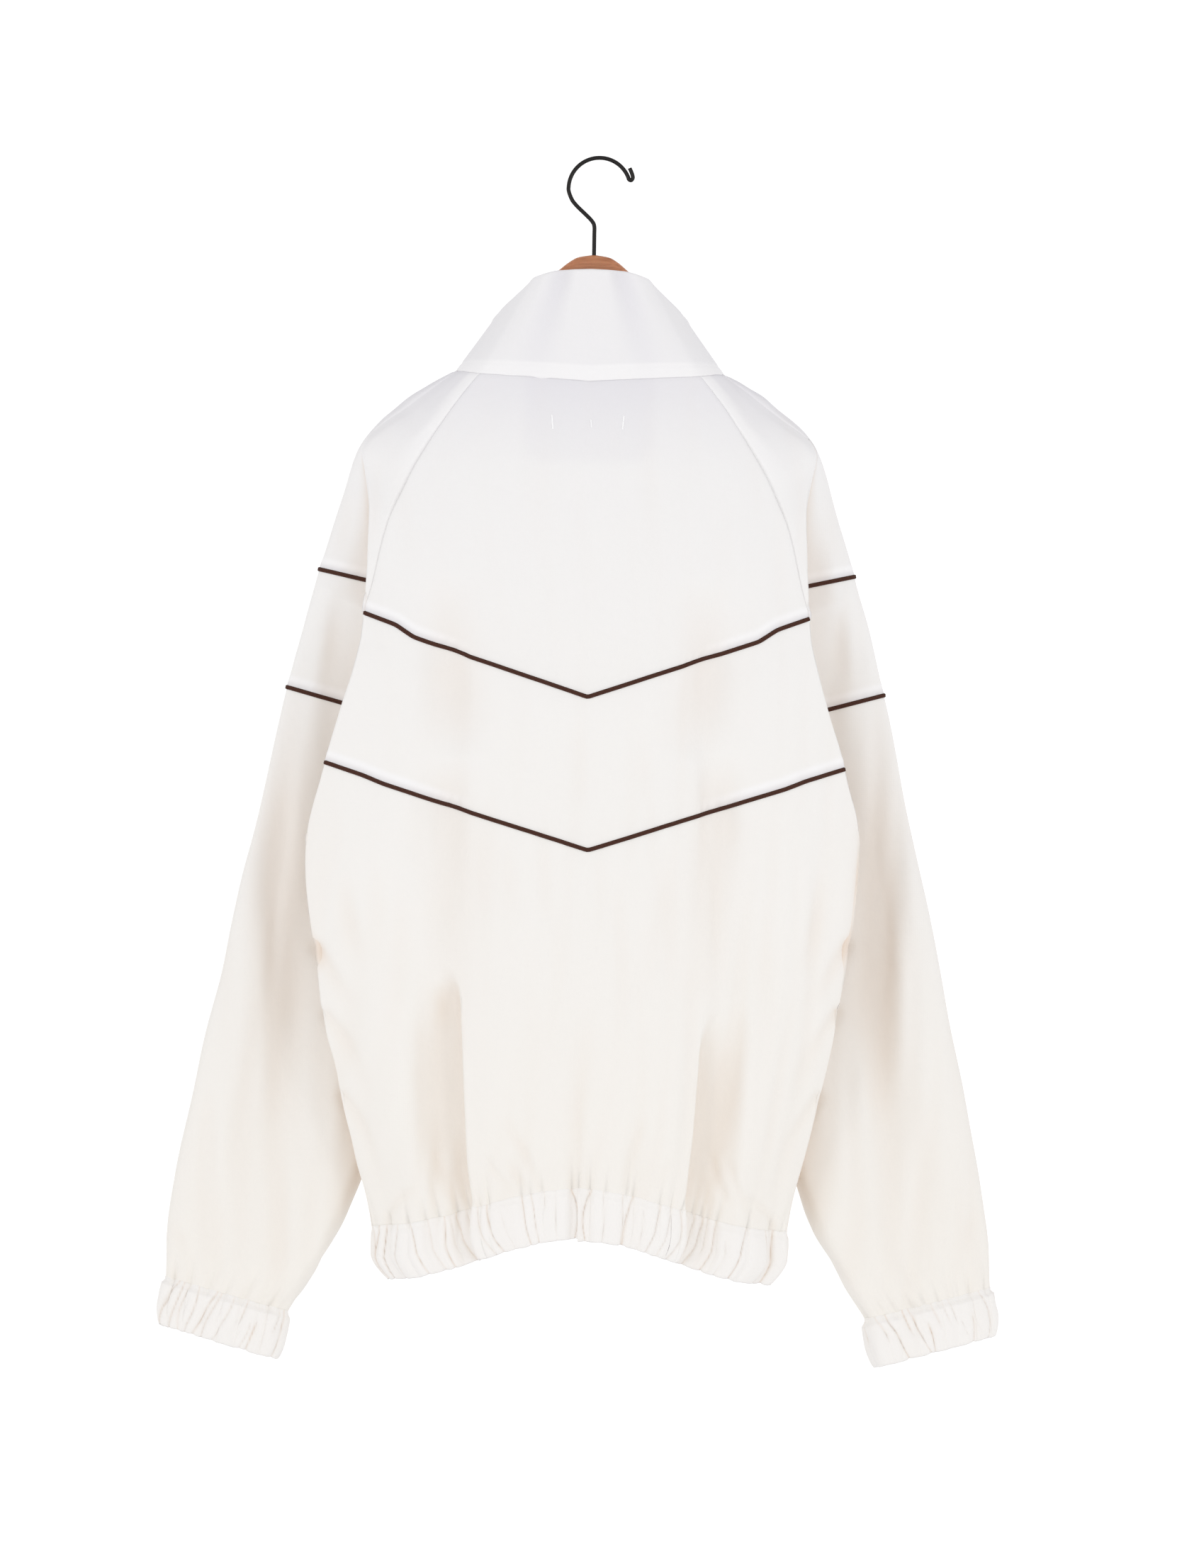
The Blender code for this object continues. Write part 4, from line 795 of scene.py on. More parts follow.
def worn_waves(points):
    """Slight unevenness of cloth that has been worn and hung: long low waves, mostly upright, stronger on the sleeves
    and on the loose lower half than across the yoke."""
    chance = np.random.RandomState(5)
    waves = np.zeros(len(points))
    for _ in range(30):
        across = 2 * np.pi / chance.uniform(18, 60)
        down = 2 * np.pi / chance.uniform(160, 520) * chance.choice((-1, 1))
        phase, swing = chance.uniform(0, 2 * np.pi, 2)
        place = points[:, 0] * across + points[:, 1] * across * .6 + points[:, 2] * down
        waves += np.sin(place + phase + 0.7 * np.sin(points[:, 2] / 47 + swing)) / 30 ** .5
    return waves * (.35 + .55 * np.clip((-points[:, 2] - 480) / 120, 0, 1))


chance = np.random.RandomState(11)


def gathers(length, spacing, height, known=()):
    """Uneven gathers along an elastic. Each has a place and depth, the lean and reach of its fan up the cloth and,
    across the casing, a width, a lean, a bow and the shares of the height where it starts and ends."""
    marks = [list(row) for row in known]
    here = marks[-1][0] if marks else -0.5 * spacing
    while True:
        here += spacing * chance.uniform(0.5, 1.5)
        if here > length - 0.3 * spacing:
            break
        start, end = ((-.3, 1.4), (-.3, 1.4), (-.3, .6), (.3, 1.4))[chance.randint(4)]
        marks.append((here, chance.uniform(.6, 1.1), chance.uniform(-.12, .12), height * chance.uniform(.35, 1.2),
                      chance.uniform(1.1, 2.2), chance.uniform(-7, 7), chance.uniform(-3, 3), start, end))
        if chance.uniform() < .6:
            start = chance.uniform(-.3, .5)
            marks.append((here + spacing * chance.uniform(.2, .45), chance.uniform(.2, .5), 0, 10,
                          chance.uniform(.9, 1.5), chance.uniform(-6, 6), chance.uniform(-2, 2), start, start + .7))
    return np.array(marks)


def soft_step(off, width):
    """1 well below zero and 0 well above it."""
    return 1 / (1 + np.exp(off / width))


def puffs(along, places, spacing):
    """Cloth that swells between the places where it is gathered: 0 at each place, up to about 1 between them."""
    k = np.clip(np.searchsorted(places, along) - 1, 0, len(places) - 2)
    width = places[k + 1] - places[k]
    f = np.clip((along - places[k]) / width, 0, 1)
    return np.clip(width / spacing, .45, 1.35) * (4 * f * (1 - f)) ** .55


def gather_relief(along, above, marks, spacing, length, depth):
    """Swells between the gathers just above an elastic, and furrows that fade as they fan up the cloth."""
    relief = np.zeros_like(above)
    near = above < 150
    places = np.concatenate(([-spacing], marks[marks[:, 1] > .5, 0], [length + spacing]))
    relief[near] += 1.9 * (puffs(along[near], places, spacing) - .45) * np.exp(-(above[near] / 16) ** 1.5)
    for place, strength, lean, reach in marks[:, :4]:
        width = 1.6 + 0.075 * above[near]
        off = (along[near] - place - lean * above[near]) / width
        relief[near] -= depth * strength * np.exp(-off ** 2) * np.exp(-(above[near] / reach) ** 1.6)
    return relief


def drawn_up(along, above, marks):
    """How far the gathered seam dips at each gather, which the cloth just above it follows."""
    dip = np.zeros_like(above)
    for place, strength in marks[:, :2]:
        dip -= 1.1 * strength * np.exp(-((along - place) / 2.6) ** 2) * np.exp(-above / 9)
    return dip


HEM_SPACING, CUFF_SPACING = 13.5, 11.5
# Furrows across the back of the hem band, by the x at which each crosses its middle
HEM_FURROWS = table(
    "x   depth  width  lean  bow  start  end  reach",
    (-154, .8, 1.5, -6, 0, -.3, 1.4, 12),
    (-139, 1, 1.4, 8, 2, -.3, 1.4, 22),
    (-124, .6, 1.8, 8, 0, -.3, 1.4, 26),
    (-114, 1, 1.6, 2, 0, -.3, 1.4, 36),
    (-107, .5, 1.5, 8, 0, -.3, .8, 10),
    (-98, .9, 1.8, 13, 0, -.3, 1.4, 35),
    (-90, .7, 1.6, 13, 0, -.3, 1.4, 20),
    (-80, .7, 1.6, 12, -3, -.3, 1.4, 12),
    (-73, 1, 1.4, 12, -2, -.3, 1.4, 38),
    (-64, .35, 1.2, 12, 0, .1, 1.4, 14),
    (-47, 1, 1.2, 6, 0, -.3, 1.4, 46),
    (-40.5, .8, 1.2, 5, 1, -.3, 1.4, 30),
    (-31, .6, 1.3, 0, 0, -.3, .45, 70),
    (-20.4, .5, 1.0, 1, 0, -.3, 1.4, 26),
    (-6, 1.1, 1.2, 4, 5, -.3, 1.4, 34),
    (10, 1.1, 1.2, -5, -5, -.3, 1.4, 34),
    (23, .55, 1.0, 1, 0, -.3, 1.4, 30),
    (39.5, .7, 1.2, 2, 0, -.3, 1.4, 64),
    (46, 1, 1.2, -6, -3, -.3, 1.4, 36),
    (57, .45, 1.2, -2, 0, .1, 1.4, 14),
    (67, .8, 1.4, -9, 0, -.3, 1.4, 32),
    (76, .6, 1.4, -9, 0, -.3, 1.4, 16),
    (84, .7, 1.6, -6, 4, -.3, 1.4, 10),
    (93, .8, 1.6, -11, 0, -.3, 1.4, 20),
    (100, .9, 1.6, -11, 0, -.3, 1.4, 32),
    (107, .6, 1.4, -7, 0, -.3, .8, 12),
    (114, .9, 1.5, -6, 0, -.3, 1.4, 40),
    (125, .45, 1.4, -2, 0, .2, 1.4, 16),
    (140, 1, 1.4, -8, -3, -.3, 1.4, 26),
    (157, .9, 1.4, 3, 3, -.3, 1.4, 12))


def known_furrows(side):
    """The table's furrows on one half of the back, placed along the hem where the outermost cloth crosses them."""
    sign = 1 if side == "right" else -1
    line = hem_back[middle:] if side == "right" else hem_back[:middle + 1][::-1]
    run = distances(line)
    rows = sorted(zip(*HEM_FURROWS.values()), key=lambda row: abs(row[0]))
    found = []
    for x, depth, width, lean, bow, start, end, reach in rows:
        crossed = np.nonzero((line[:-1, 0] - x) * (line[1:, 0] - x) <= 0)[0]
        if x * sign > 0 and len(crossed):
            place = run[crossed[line[crossed, 1].argmin()]]
            found.append((place, depth, chance.uniform(-.04, .04), reach, width, lean * sign, bow * sign, start, end))
    return sorted(found)


hem_back = patches["back_lower"][-1]
middle = len(hem_back) // 2
hem_half = {"right": distances(hem_back[middle:])[-1], "left": distances(hem_back[:middle + 1])[-1]}
hem_front = distances(patches["front_lower_right"][-1])[-1]
hem_gathers = {side: gathers(hem_half[side] + hem_front, HEM_SPACING, 62, known_furrows(side))
               for side in ("left", "right")}
cuff_round = distances(patches["sleeve_lower_right"][-1])[-1]
cuff_gathers = {side: gathers(cuff_round, CUFF_SPACING, 46) for side in ("left", "right")}
for marks in cuff_gathers.values():
    # the cuffs hang aslant, so that their furrows run down and outwards
    marks[:, 5] += 9
    marks[:, 4] *= .75


def elastics(name, side):
    """The gathered edges below a panel: its columns there, how far along the elastic each lies, the gathers, their
    spacing and the elastic's length, how deep the furrows are, and how much of all that each column takes part in."""
    if name == "back_lower":
        for way, half in (("left", slice(0, middle + 1)), ("right", slice(middle, None))):
            run = distances(hem_back[half])
            yield (half, run if way == "right" else run[-1] - run, hem_gathers[way], HEM_SPACING,
                   hem_half[way] + hem_front, 1.8, 1)
    elif name.startswith(("front_lower", "sleeve_lower")):
        run = distances(patches[name.replace(side, "right")][-1])
        along = run if side == "right" else run[-1] - run[::-1]
        if name.startswith("sleeve"):
            yield slice(None), along, cuff_gathers[side], CUFF_SPACING, cuff_round, 2.2, 1
        else:
            calm = np.clip((run[-1] - along - CALM_BY_ZIP[0]) / CALM_BY_ZIP[1], 0, 1)
            yield (slice(None), along + hem_half[side], hem_gathers[side], HEM_SPACING, hem_half[side] + hem_front,
                   2.1, calm)


relief, risen, doubled, pressed = {}, {}, {}, {}
for name, index in numbers.items():
    patch = net[index]
    left, right, top, bottom = from_edges(patch)
    lift, rise, double, press = (np.zeros(index.shape) for _ in range(4))
    side = name.split("_")[-1]
    level = name.split("_")[1]
    for away, deep in ((left, 1), (right, 1), (top, level == "upper")):
        lift -= deep * GROOVE * np.exp(-(away / GROOVE_WIDTH) ** 2)
    if level != "lower":
        # above a piping: the seam allowance under the cloth, a band of painted shade next to the piping, and ripples
        # where the sewing has drawn it in
        band = soft_step(bottom - ALLOWANCE, 0.9)
        piping_shade = soft_step(bottom - PIPING_SHADE_WIDTH, 0.8)
        beyond = np.clip((np.abs(patch[..., 0]) - SHOWN_FROM) / SHOWN_OVER, 0, 1)
        double = np.maximum(double, (band - piping_shade) * beyond)
        press = np.maximum(press, piping_shade * (.08 + .34 * beyond))
        lift += ALLOWANCE_LIFT * band
        along = np.cumsum(np.linalg.norm(np.diff(patch, axis=1, prepend=patch[:, :1]), axis=2), axis=1)
        ripple = np.sin(along / 1.35 + 2.0 * np.sin(along / 9.0)) * np.exp(-((bottom - 6) / 5.5) ** 2)
        lift += ripple * (.10 + .30 * np.exp(-((np.abs(patch[..., 0]) - 112) / 16) ** 2))
    if name.startswith("sleeve_upper"):
        away = left if side == "right" else right
        band = .7 * soft_step(away - RAGLAN_ALLOWANCE, 0.9) * np.clip((patch[..., 2] + 290) / 70, 0, 1)
        double = np.maximum(double, band)
        lift += ALLOWANCE_LIFT * band
    for columns, along, marks, spacing, length, depth, calm in elastics(name, side):
        above = bottom[:, columns]
        along = np.broadcast_to(along, above.shape)
        lift[:, columns] += calm * gather_relief(along, above, marks, spacing, length, depth)
        rise[:, columns] = calm * drawn_up(along, above, marks)
    if name == "back_upper":
        # the neck facing inside shows through
        off = np.hypot(np.maximum(np.abs(patch[..., 0]) - FACING_CORNER[0], 0),
                       np.maximum(FACING_CORNER[1] - patch[..., 2], 0)) - FACING_ROUND
        press = np.maximum(press, 0.15 * soft_step(off, 2.2))
        lift += 0.25 * soft_step(off, 1.2)
    if level == "upper":
        # painted shade: the top of the yoke greys, where the shoulders slope up away from the light
        press = press + 0.45 * np.clip((patch[..., 2] - SHOULDER_SHADE_FROM) / 75, 0, 1) ** 1.5 * (1 - double)
    relief[name] = lift
    risen[name] = rise
    doubled[name] = double
    pressed[name] = np.clip(press, 0, 1)

every = np.concatenate([i.ravel() for i in numbers.values()])
weight = np.bincount(every, minlength=len(net))
raised, drawn = (np.bincount(every, np.concatenate([part[name].ravel() for name in numbers]), len(net)) / weight
                 for part in (relief, risen))
facing = net_normals(net)
creased = crease_relief(net, facing, BACK_CREASES, -1) + crease_relief(net, facing, FRONT_CREASES, 1)
worn = worn_waves(net)
raised += creased + worn
# the zip holds the edges beside it up out of the creases
beside_zip = (np.abs(net[:, 0]) < 20) & (net[:, 1] > 30)
raised[beside_zip] = np.maximum(raised[beside_zip], -.2)
net = net + facing * raised[:, None]
# at centre back the cloth has slipped a little to one side
slip = np.interp(-net[:, 2], (300, 440, 556, 760), (0, 1.9, 3.7, 0)) * (net[:, 1] < 0)
net[:, 0] += slip * np.exp(-(net[:, 0] / 75) ** 2)
net[:, 2] += drawn
facing = net_normals(net)

# Light that reaches the bottom of a fold has come off other cloth, which turns it warmer and dimmer; this is painted
# into the cloth's colour as a warm painted shade. So each point needs to know how much of the space before it other
# cloth takes up
FOLD_REACH = 140
RAYS = 20
GOLDEN_ANGLE = 2.399963


def closed_in(step=3):
    """The share of rays from each point that meet cloth within reach, worked out on every third row and column."""
    tree = BVHTree.FromPolygons(net.tolist(), net_faces)
    turns = np.arange(RAYS) * GOLDEN_ANGLE
    rise = np.sqrt((np.arange(RAYS) + .5) / RAYS)
    out = np.zeros(len(net))
    for index in numbers.values():
        rows = np.unique(np.append(np.arange(0, index.shape[0], step), index.shape[0] - 1))
        columns = np.unique(np.append(np.arange(0, index.shape[1], step), index.shape[1] - 1))
        coarse = index[np.ix_(rows, columns)].ravel()
        away = facing[coarse]
        aside = unit(np.cross(away, np.array((.13, .21, .97))))
        third = np.cross(away, aside)
        met = np.zeros(len(coarse))
        for turn, height in zip(turns, rise):
            flat = math.sqrt(1 - height * height)
            ways = away * height + (aside * math.cos(turn) + third * math.sin(turn)) * flat
            starts = net[coarse] + away * 1.2
            for k, (start, way) in enumerate(zip(starts.tolist(), ways.tolist())):
                hit = tree.ray_cast(start, way, FOLD_REACH)
                if hit[3] is not None:
                    met[k] += 1 - hit[3] / FOLD_REACH
        met = (met / RAYS).reshape(len(rows), len(columns))
        wide = np.array([np.interp(np.arange(index.shape[1]), columns, row) for row in met])
        full = np.array([np.interp(np.arange(index.shape[0]), rows, column) for column in wide.T]).T
        out[index] = full
    return relaxed(out, 12, np.zeros(len(net), bool))


# Creases too shallow for that get the warm painted shade by their own depth
hollow = np.clip(1.1 * closed_in() - .07, 0, .75) + .045 * np.clip(-creased, 0, 6) + .05 * np.clip(-worn, 0, 1.2)
hollow = np.clip(hollow, 0, .8)


def coated_cotton():
    """Tightly woven cotton with a thin coating: cool off-white, dull, a faint plain weave. It is paler over two plies,
    with a painted highlight along the collar's top edge; greyer where the neck facing shows through, with painted shade
    next to the pipings, over the collar and at the top of the yoke; and warmer and darker down in the folds, a painted
    shade."""
    made, tree, shader, place = new_material("coated_cotton")
    parts = node(tree, "SeparateXYZ", {"Vector": place})
    # painted light: cooler and a little greyer at the shoulders, warmer towards the hem, the tint of the light that
    # falls there
    height = node(tree, "MapRange", {"Value": parts.outputs["Z"], "From Min": -0.95, "From Max": -0.18})
    tones = ramp(tree, height.outputs["Result"], (0, "F7F3EB"), (0.6, "F5F3EF"), (1, "F2F1F0"))
    # paler over two plies, and a painted highlight along the collar's top edge
    plies = node(tree, "Attribute", {}, attribute_name="double")
    paler = node(tree, "Mix", {"Factor": plies.outputs["Fac"], "A": tones, "B": linear("FAF9F8")},
                 data_type="RGBA")
    # painted shade next to the pipings, over the collar and at the top of the yoke, and greyer where the neck facing
    # shows through
    press = node(tree, "Attribute", {}, attribute_name="pressed")
    greyer = node(tree, "Mix", {"Factor": press.outputs["Fac"], "A": paler.outputs["Result"], "B": linear("DEDCE2")},
                  data_type="RGBA")
    # painted shade: warmer and darker down in the folds
    depth = node(tree, "Attribute", {}, attribute_name="hollow")
    warmer = node(tree, "Mix", {"Factor": depth.outputs["Fac"], "A": greyer.outputs["Result"], "B": linear("E8D6C4")},
                  data_type="RGBA")
    # warp and weft 0.9 mm apart, three times the real spacing, so that they show at all
    warp = node(tree, "TexWave", {"Vector": place, "Scale": 350.0, "Distortion": 0.6,
                                  "Detail": 1.0}, bands_direction="X")
    weft = node(tree, "TexWave", {"Vector": place, "Scale": 350.0, "Distortion": 0.6,
                                  "Detail": 1.0}, bands_direction="Z")
    weave = node(tree, "Math", {0: warp.outputs["Fac"], 1: weft.outputs["Fac"]}, operation="ADD")
    # slubs and handling, 8 to 20 mm across
    slack = node(tree, "TexNoise", {"Vector": place, "Scale": 60.0, "Detail": 4.0})
    fine = node(tree, "Bump", {"Height": weave.outputs["Value"], "Strength": 0.1, "Distance": 0.0002})
    soft = node(tree, "Bump", {"Height": slack.outputs["Fac"], "Strength": 0.16, "Distance": 0.004,
                               "Normal": fine.outputs["Normal"]})
    tree.links.new(warmer.outputs["Result"], shader.inputs["Base Color"])
    tree.links.new(soft.outputs["Normal"], shader.inputs["Normal"])
    shader.inputs["Roughness"].default_value = 0.78
    shader.inputs["Sheen Weight"].default_value = 0.06
    shader.inputs["Sheen Roughness"].default_value = 0.5
    return made


COTTON = coated_cotton()


def cloth_piece(name, points, faces, cad_node, thickness=CLOTH, **shares):
    """A piece of the jacket: a thin shell of cloth that stands for its solid, with named shares at its points."""
    made = add_piece(name, points, faces, COTTON)
    for share, values in shares.items():
        spread = made.data.attributes.new(share, "FLOAT", "POINT")
        spread.data.foreach_set("value", np.asarray(values, np.float32).ravel())
    if thickness:
        wall = made.modifiers.new("thickness", "SOLIDIFY")
        wall.thickness = thickness * MM
        wall.offset = -1
        wall.use_even_offset = False
    fit(made, cad_node)
    return made


# The cut of each panel, flat: width, length and area
FLAT = {
    "back_upper": (0.40, 0.27, 0.072),
    "back_middle": (0.45, 0.20, 0.062),
    "back_lower": (0.56, 0.37, 0.160),
    "front_upper": (0.19, 0.27, 0.034),
    "front_middle": (0.25, 0.21, 0.036),
    "front_lower": (0.28, 0.38, 0.090),
    "sleeve_upper": (0.27, 0.22, 0.036),
    "sleeve_middle": (0.30, 0.14, 0.030),
    "sleeve_lower": (0.37, 0.53, 0.150),
}
for name, index in numbers.items():
    used, local = np.unique(index, return_inverse=True)
    faces = grid_faces(local.reshape(index.shape))
    double, press = np.zeros(len(used)), np.zeros(len(used))
    np.maximum.at(double, local.ravel(), doubled[name].ravel())
    np.maximum.at(press, local.ravel(), pressed[name].ravel())
    panel = cloth_piece(name + "_cloth", net[used], faces, name, double=double, pressed=press,
                        hollow=hollow[used])
    width, length, area = FLAT[name.replace("_left", "").replace("_right", "")]


# Piping: cotton cord covered with dark brown bias tape and let into the seams, so that a low ridge of it shows
# with a furrow down its middle. It is stiffer than the cloth and holds the seams in clean lines.
PIPING_SECTION = ((-1.75, -.5), (-1.7, .5), (-1.3, 1.15), (-.75, 1.4), (-.3, 1.35), (0, 1.15), (.3, 1.35),
                  (.75, 1.4), (1.3, 1.15), (1.7, .5), (1.75, -.5))
PIPING_END = 1.5         # how far short of its seam's end a piping stops
PIPING_TUCK = 9          # and where it passes under the sleeve


def piping_tape():
    """Dark brown cotton tape: dull, a fine twill across it and paler where it is worn along the ridge."""
    made, tree, shader, place = new_material("brown_bias_tape")
    threads = node(tree, "TexNoise", {"Vector": place, "Scale": 1400.0, "Detail": 3.0})
    worn = node(tree, "Attribute", {}, attribute_name="ridge")
    amount = node(tree, "Math", {0: worn.outputs["Fac"], 1: threads.outputs["Fac"]}, operation="MULTIPLY")
    tones = ramp(tree, amount.outputs["Value"], (0, "26140F"), (0.75, "583629"))
    bump_map = node(tree, "Bump", {"Height": threads.outputs["Fac"], "Strength": 0.3, "Distance": 0.0002})
    tree.links.new(tones, shader.inputs["Base Color"])
    tree.links.new(bump_map.outputs["Normal"], shader.inputs["Normal"])
    shader.inputs["Roughness"].default_value = 0.75
    shader.inputs["Specular IOR Level"].default_value = 0.2
    return made


BIAS_TAPE = piping_tape()


def piping(name, index, ends):
    """The ridge of a piping along a row of the net."""
    keep = np.concatenate(([True], np.diff(index) != 0))
    line, away = net[index[keep]], facing[index[keep]]
    length = distances(line)[-1]
    shares = np.linspace(ends[0] / length, 1 - ends[1] / length, int(length / 2.0))
    line, away = share_out(line, shares, away)
    forward = unit(np.gradient(line, axis=0))
    away = unit(away - forward * (away * forward).sum(axis=1, keepdims=True))
    across = np.cross(forward, away)
    rows = np.array([line + across * a + away * b for a, b in PIPING_SECTION])
    made = add_piece(name + "_tape", rows.reshape(-1, 3), grid_faces(grid_numbers(rows)[::-1]), BIAS_TAPE)
    ridge = np.array([max(0, b) / 1.4 for _, b in PIPING_SECTION])
    ridge[len(ridge) // 2] = 0.2  # the furrow
    worn = made.data.attributes.new("ridge", "FLOAT", "POINT")
    worn.data.foreach_set("value", np.repeat(ridge, rows.shape[1]).astype(np.float32))
    fit(made, name)


both_ends = (PIPING_END, PIPING_END)
piping("piping_back_upper", numbers["back_upper"][-1], both_ends)
piping("piping_back_lower", numbers["back_lower"][0], both_ends)
for side, order in (("left", -1), ("right", 1)):
    piping("piping_front_upper_" + side, numbers["front_middle_" + side][0], (PIPING_TUCK, PIPING_END)[::order])
    piping("piping_front_lower_" + side, numbers["front_lower_" + side][0], both_ends)
    piping("piping_sleeve_upper_" + side, numbers["sleeve_middle_" + side][0], (PIPING_END, PIPING_TUCK)[::order])
    piping("piping_sleeve_lower_" + side, numbers["sleeve_lower_" + side][0], both_ends)


# The hem band and the cuffs: a casing of the same cotton folded over wide elastic and sewn to the gathered edge.
# Between the gathers it puffs out; each gather is a sharp furrow across it.
BAND_FALL = (40, 43)     # height of the hem band at centre back and at the sides
BAND_PLY = 1.6           # thickness of cloth and elastic together
BAND_STEP = 2.2          # the right half is stitched on this much lower at centre back
CUFF_FALL = (7.0, 1.0, -38.5)
PUFF, CUFF_PUFF = 4.0, 3.6


def relaxed_line(line, rounds):
    """An open line with its small bends let out."""
    line = line.copy()
    for _ in range(rounds):
        line[1:-1] = line[1:-1] / 2 + (line[:-2] + line[2:]) / 4
    return line


def casing(seam, line, away, marks, tint, fall, draw, centre, depth, out, ring):
    """Rows of a folded casing, from its edge tucked under the seam down its outside, round its lower edge and up its
    inside, and how much warm painted shade each point takes. It falls from the line by fall, is drawn in to its centre
    by draw at its lower edge, and puffs out by depth times out."""
    along = distances(line)
    if ring:
        length = along[-1] + np.linalg.norm(line[0] - line[-1])
        marks = np.concatenate([marks + np.eye(9)[0] * way * length for way in (-1, 0, 1)])
    rows, warm = [], []
    for down in np.concatenate(([0, .03], np.linspace(.08, .95, 20), [1])):
        narrow = 1 - draw * max(0, down - .55) ** 1.5 / .45 ** 1.5
        sunk, crease = np.zeros(len(line)), np.zeros(len(line))
        for place, strength, _, _, width, lean, bow, start, end in marks:
            run = np.clip(min((down - start) / .2, (end - down) / .2), 0, 1)
            off = np.abs(along - place - lean * (down - .5) - bow * math.sin(math.pi * down))
            near = off < 6 * width
            fine = np.exp(-off[near] / (.62 * width))
            sunk[near] += run * strength * (.72 * fine + .28 * np.exp(-(off[near] / 4.5) ** 2))
            crease[near] += run * strength * fine
        sunk = 1.15 * np.tanh(sunk / 1.15)
        swell = depth * (.5 + .5 * math.sin(math.pi * min(1, .14 + .86 * down)) ** .6)
        row = centre + (line - centre) * np.array((narrow, (1 + narrow) / 2, 1)) + fall * down
        own = min(1, down / .12)
        row = row + away * ((out - sunk) * swell * own)[:, None]
        row[:, 2] += 1.6 * sunk * max(0, down - .6) / .4
        rows.append(row * own + (seam + fall * down) * (1 - own))
        # warm painted shade: the shade of the folds above the seam, and more down each furrow
        warm.append(np.clip(.6 * tint + .75 * np.clip(crease, 0, 1.2) ** 2, 0, 1))
    inner = [row - away * BAND_PLY for row in rows]
    low = rows[-1] - away * BAND_PLY / 2 + fall / np.linalg.norm(fall, axis=-1, keepdims=True) * .9
    up = np.array((0, 0, 1))
    rows[0] = seam + away * .25 + up * .3
    tucked = seam - away * .6 + up * 1.4
    rows = [tucked] + rows + [low] + inner[:2:-2]
    return np.array(rows), np.array([warm[0]] + warm + [warm[-1]] + [0 * warm[0]] * len(inner[:2:-2]))


def casing_piece(name, side, rows, warm, ring=False):
    """The rows of a casing as a piece of the jacket, paler all over for its second ply."""
    number = grid_numbers(rows)
    if side == "left":
        number = number[:, ::-1]
    return cloth_piece(f"{name}_{side}_cloth", rows.reshape(-1, 3), grid_faces(number, ring=ring), f"{name}_{side}", 0,
                       double=.45 * np.ones(rows.shape[:2]), hollow=warm)


def hem_band(side):
    """Half of the hem band, from its centre back seam to the zip."""
    order = 1 if side == "right" else -1
    back, front = (numbers[n][-1][::order] for n in ("back_lower", "front_lower_" + side))
    index = np.concatenate((back[middle:], front[1:]))
    line, away = net[index], facing[index]
    length = distances(line)[-1]
    line, away, tint = share_out(line, np.linspace(0, 1, int(length)), away, hollow[index][:, None])
    away = unit(away * np.array((1, 1, .2)))
    calm = relaxed_line(line, 12)
    reach = np.clip(np.abs(calm[:, 0]) / 168, 0, 1)
    fall = np.stack((0 * reach, 0 * reach, -(BAND_FALL[0] + (BAND_FALL[1] - BAND_FALL[0]) * reach)), axis=1)
    if side == "right":
        fall[:, 2] -= BAND_STEP * np.exp(-(line[:, 0] / 22) ** 2) * (line[:, 1] < 0)
    zip_fade = np.clip((np.abs(line[:, 0]) - 4) / 12 + (line[:, 1] < 0), 0, 1)
    rows, warm = casing(line, calm, away, hem_gathers[side], tint[:, 0], fall, .07, np.array((0, 0, 0)),
                        PUFF * zip_fade, .45, False)
    made = casing_piece("hem_band", side, rows, warm)


def cuff(side):
    """A cuff, the same casing closed into a ring."""
    index = numbers["sleeve_lower_" + side][-1]
    order = 1 if side == "right" else -1
    line, away = net[index][::order], facing[index][::order]
    length = distances(line)[-1]
    line, away, tint = share_out(line, np.linspace(0, 1, int(length / .85))[:-1], away,
                                 hollow[index][::order, None])
    calm = relaxed_line(line, 10)
    away = unit(relaxed_line(away, 10))
    fall = np.array(CUFF_FALL) * (order, 1, 1)
    rows, warm = casing(line, calm, away, cuff_gathers[side], tint[:, 0], fall * np.ones((len(line), 1)), .05,
                        line.mean(axis=0), CUFF_PUFF, 1.2, True)
    made = casing_piece("cuff", side, rows, warm, ring=True)


for side in ("left", "right"):
    hem_band(side)
    cuff(side)


# Bar tacks that hold the neck's label tape inside: close zigzags of white thread, seen through on the back.
TACKS = table(
    "x     z     slant  length",
    (-30.5, -216, .9, 11),
    (1.5, -217, .3, 6),
    (28.2, -216, -1.0, 11))
THREAD = 0.8


def sewing_thread():
    """White spun polyester thread with a slight shine."""
    made, tree, shader, place = new_material("sewing_thread")
    twist = node(tree, "TexWave", {"Vector": place, "Scale": 900.0}, bands_direction="DIAGONAL")
    tones = ramp(tree, twist.outputs["Fac"], (0, "FBFBFA"), (1, "FFFFFF"))
    tree.links.new(tones, shader.inputs["Base Color"])
    shader.inputs["Roughness"].default_value = 0.45
    return made


WHITE_THREAD = sewing_thread()
back_tree = BVHTree.FromPolygons(net.tolist(), net_faces)


def bar_tack(number, x, z, slant, length):
    """Zigzag of thread over the cloth, as a square tube along its path."""
    path = []
    for k, down in enumerate(np.linspace(0, 1, int(length / .55))):
        at = (x + slant * down + (.7 if k % 2 else -.7), -400, z + length * (.5 - down))
        spot, out, _, _ = back_tree.ray_cast(at, (0, 1, 0))
        path.append(np.array(spot) + np.array(out) * THREAD * .2)
    path = np.array(path)
    ring = THREAD / 2 * np.array(((1, 0, 0), (0, -.4, 0), (-1, 0, 0), (0, .4, 0)))
    points = (path[:, None, :] + ring @ np.array(((0, 0, 1), (0, 1, 0), (1, 0, 0)))).reshape(-1, 3)
    index = np.arange(len(points)).reshape(len(path), 4)
    faces = grid_faces(index, ring=True) + [index[0, ::-1].tolist(), index[-1].tolist()]
    made = add_piece(f"bar_tack_{number}", points, faces, WHITE_THREAD, smooth=False)
    fit(made)


for number, row in enumerate(zip(*TACKS.values())):
    bar_tack(number, *row)


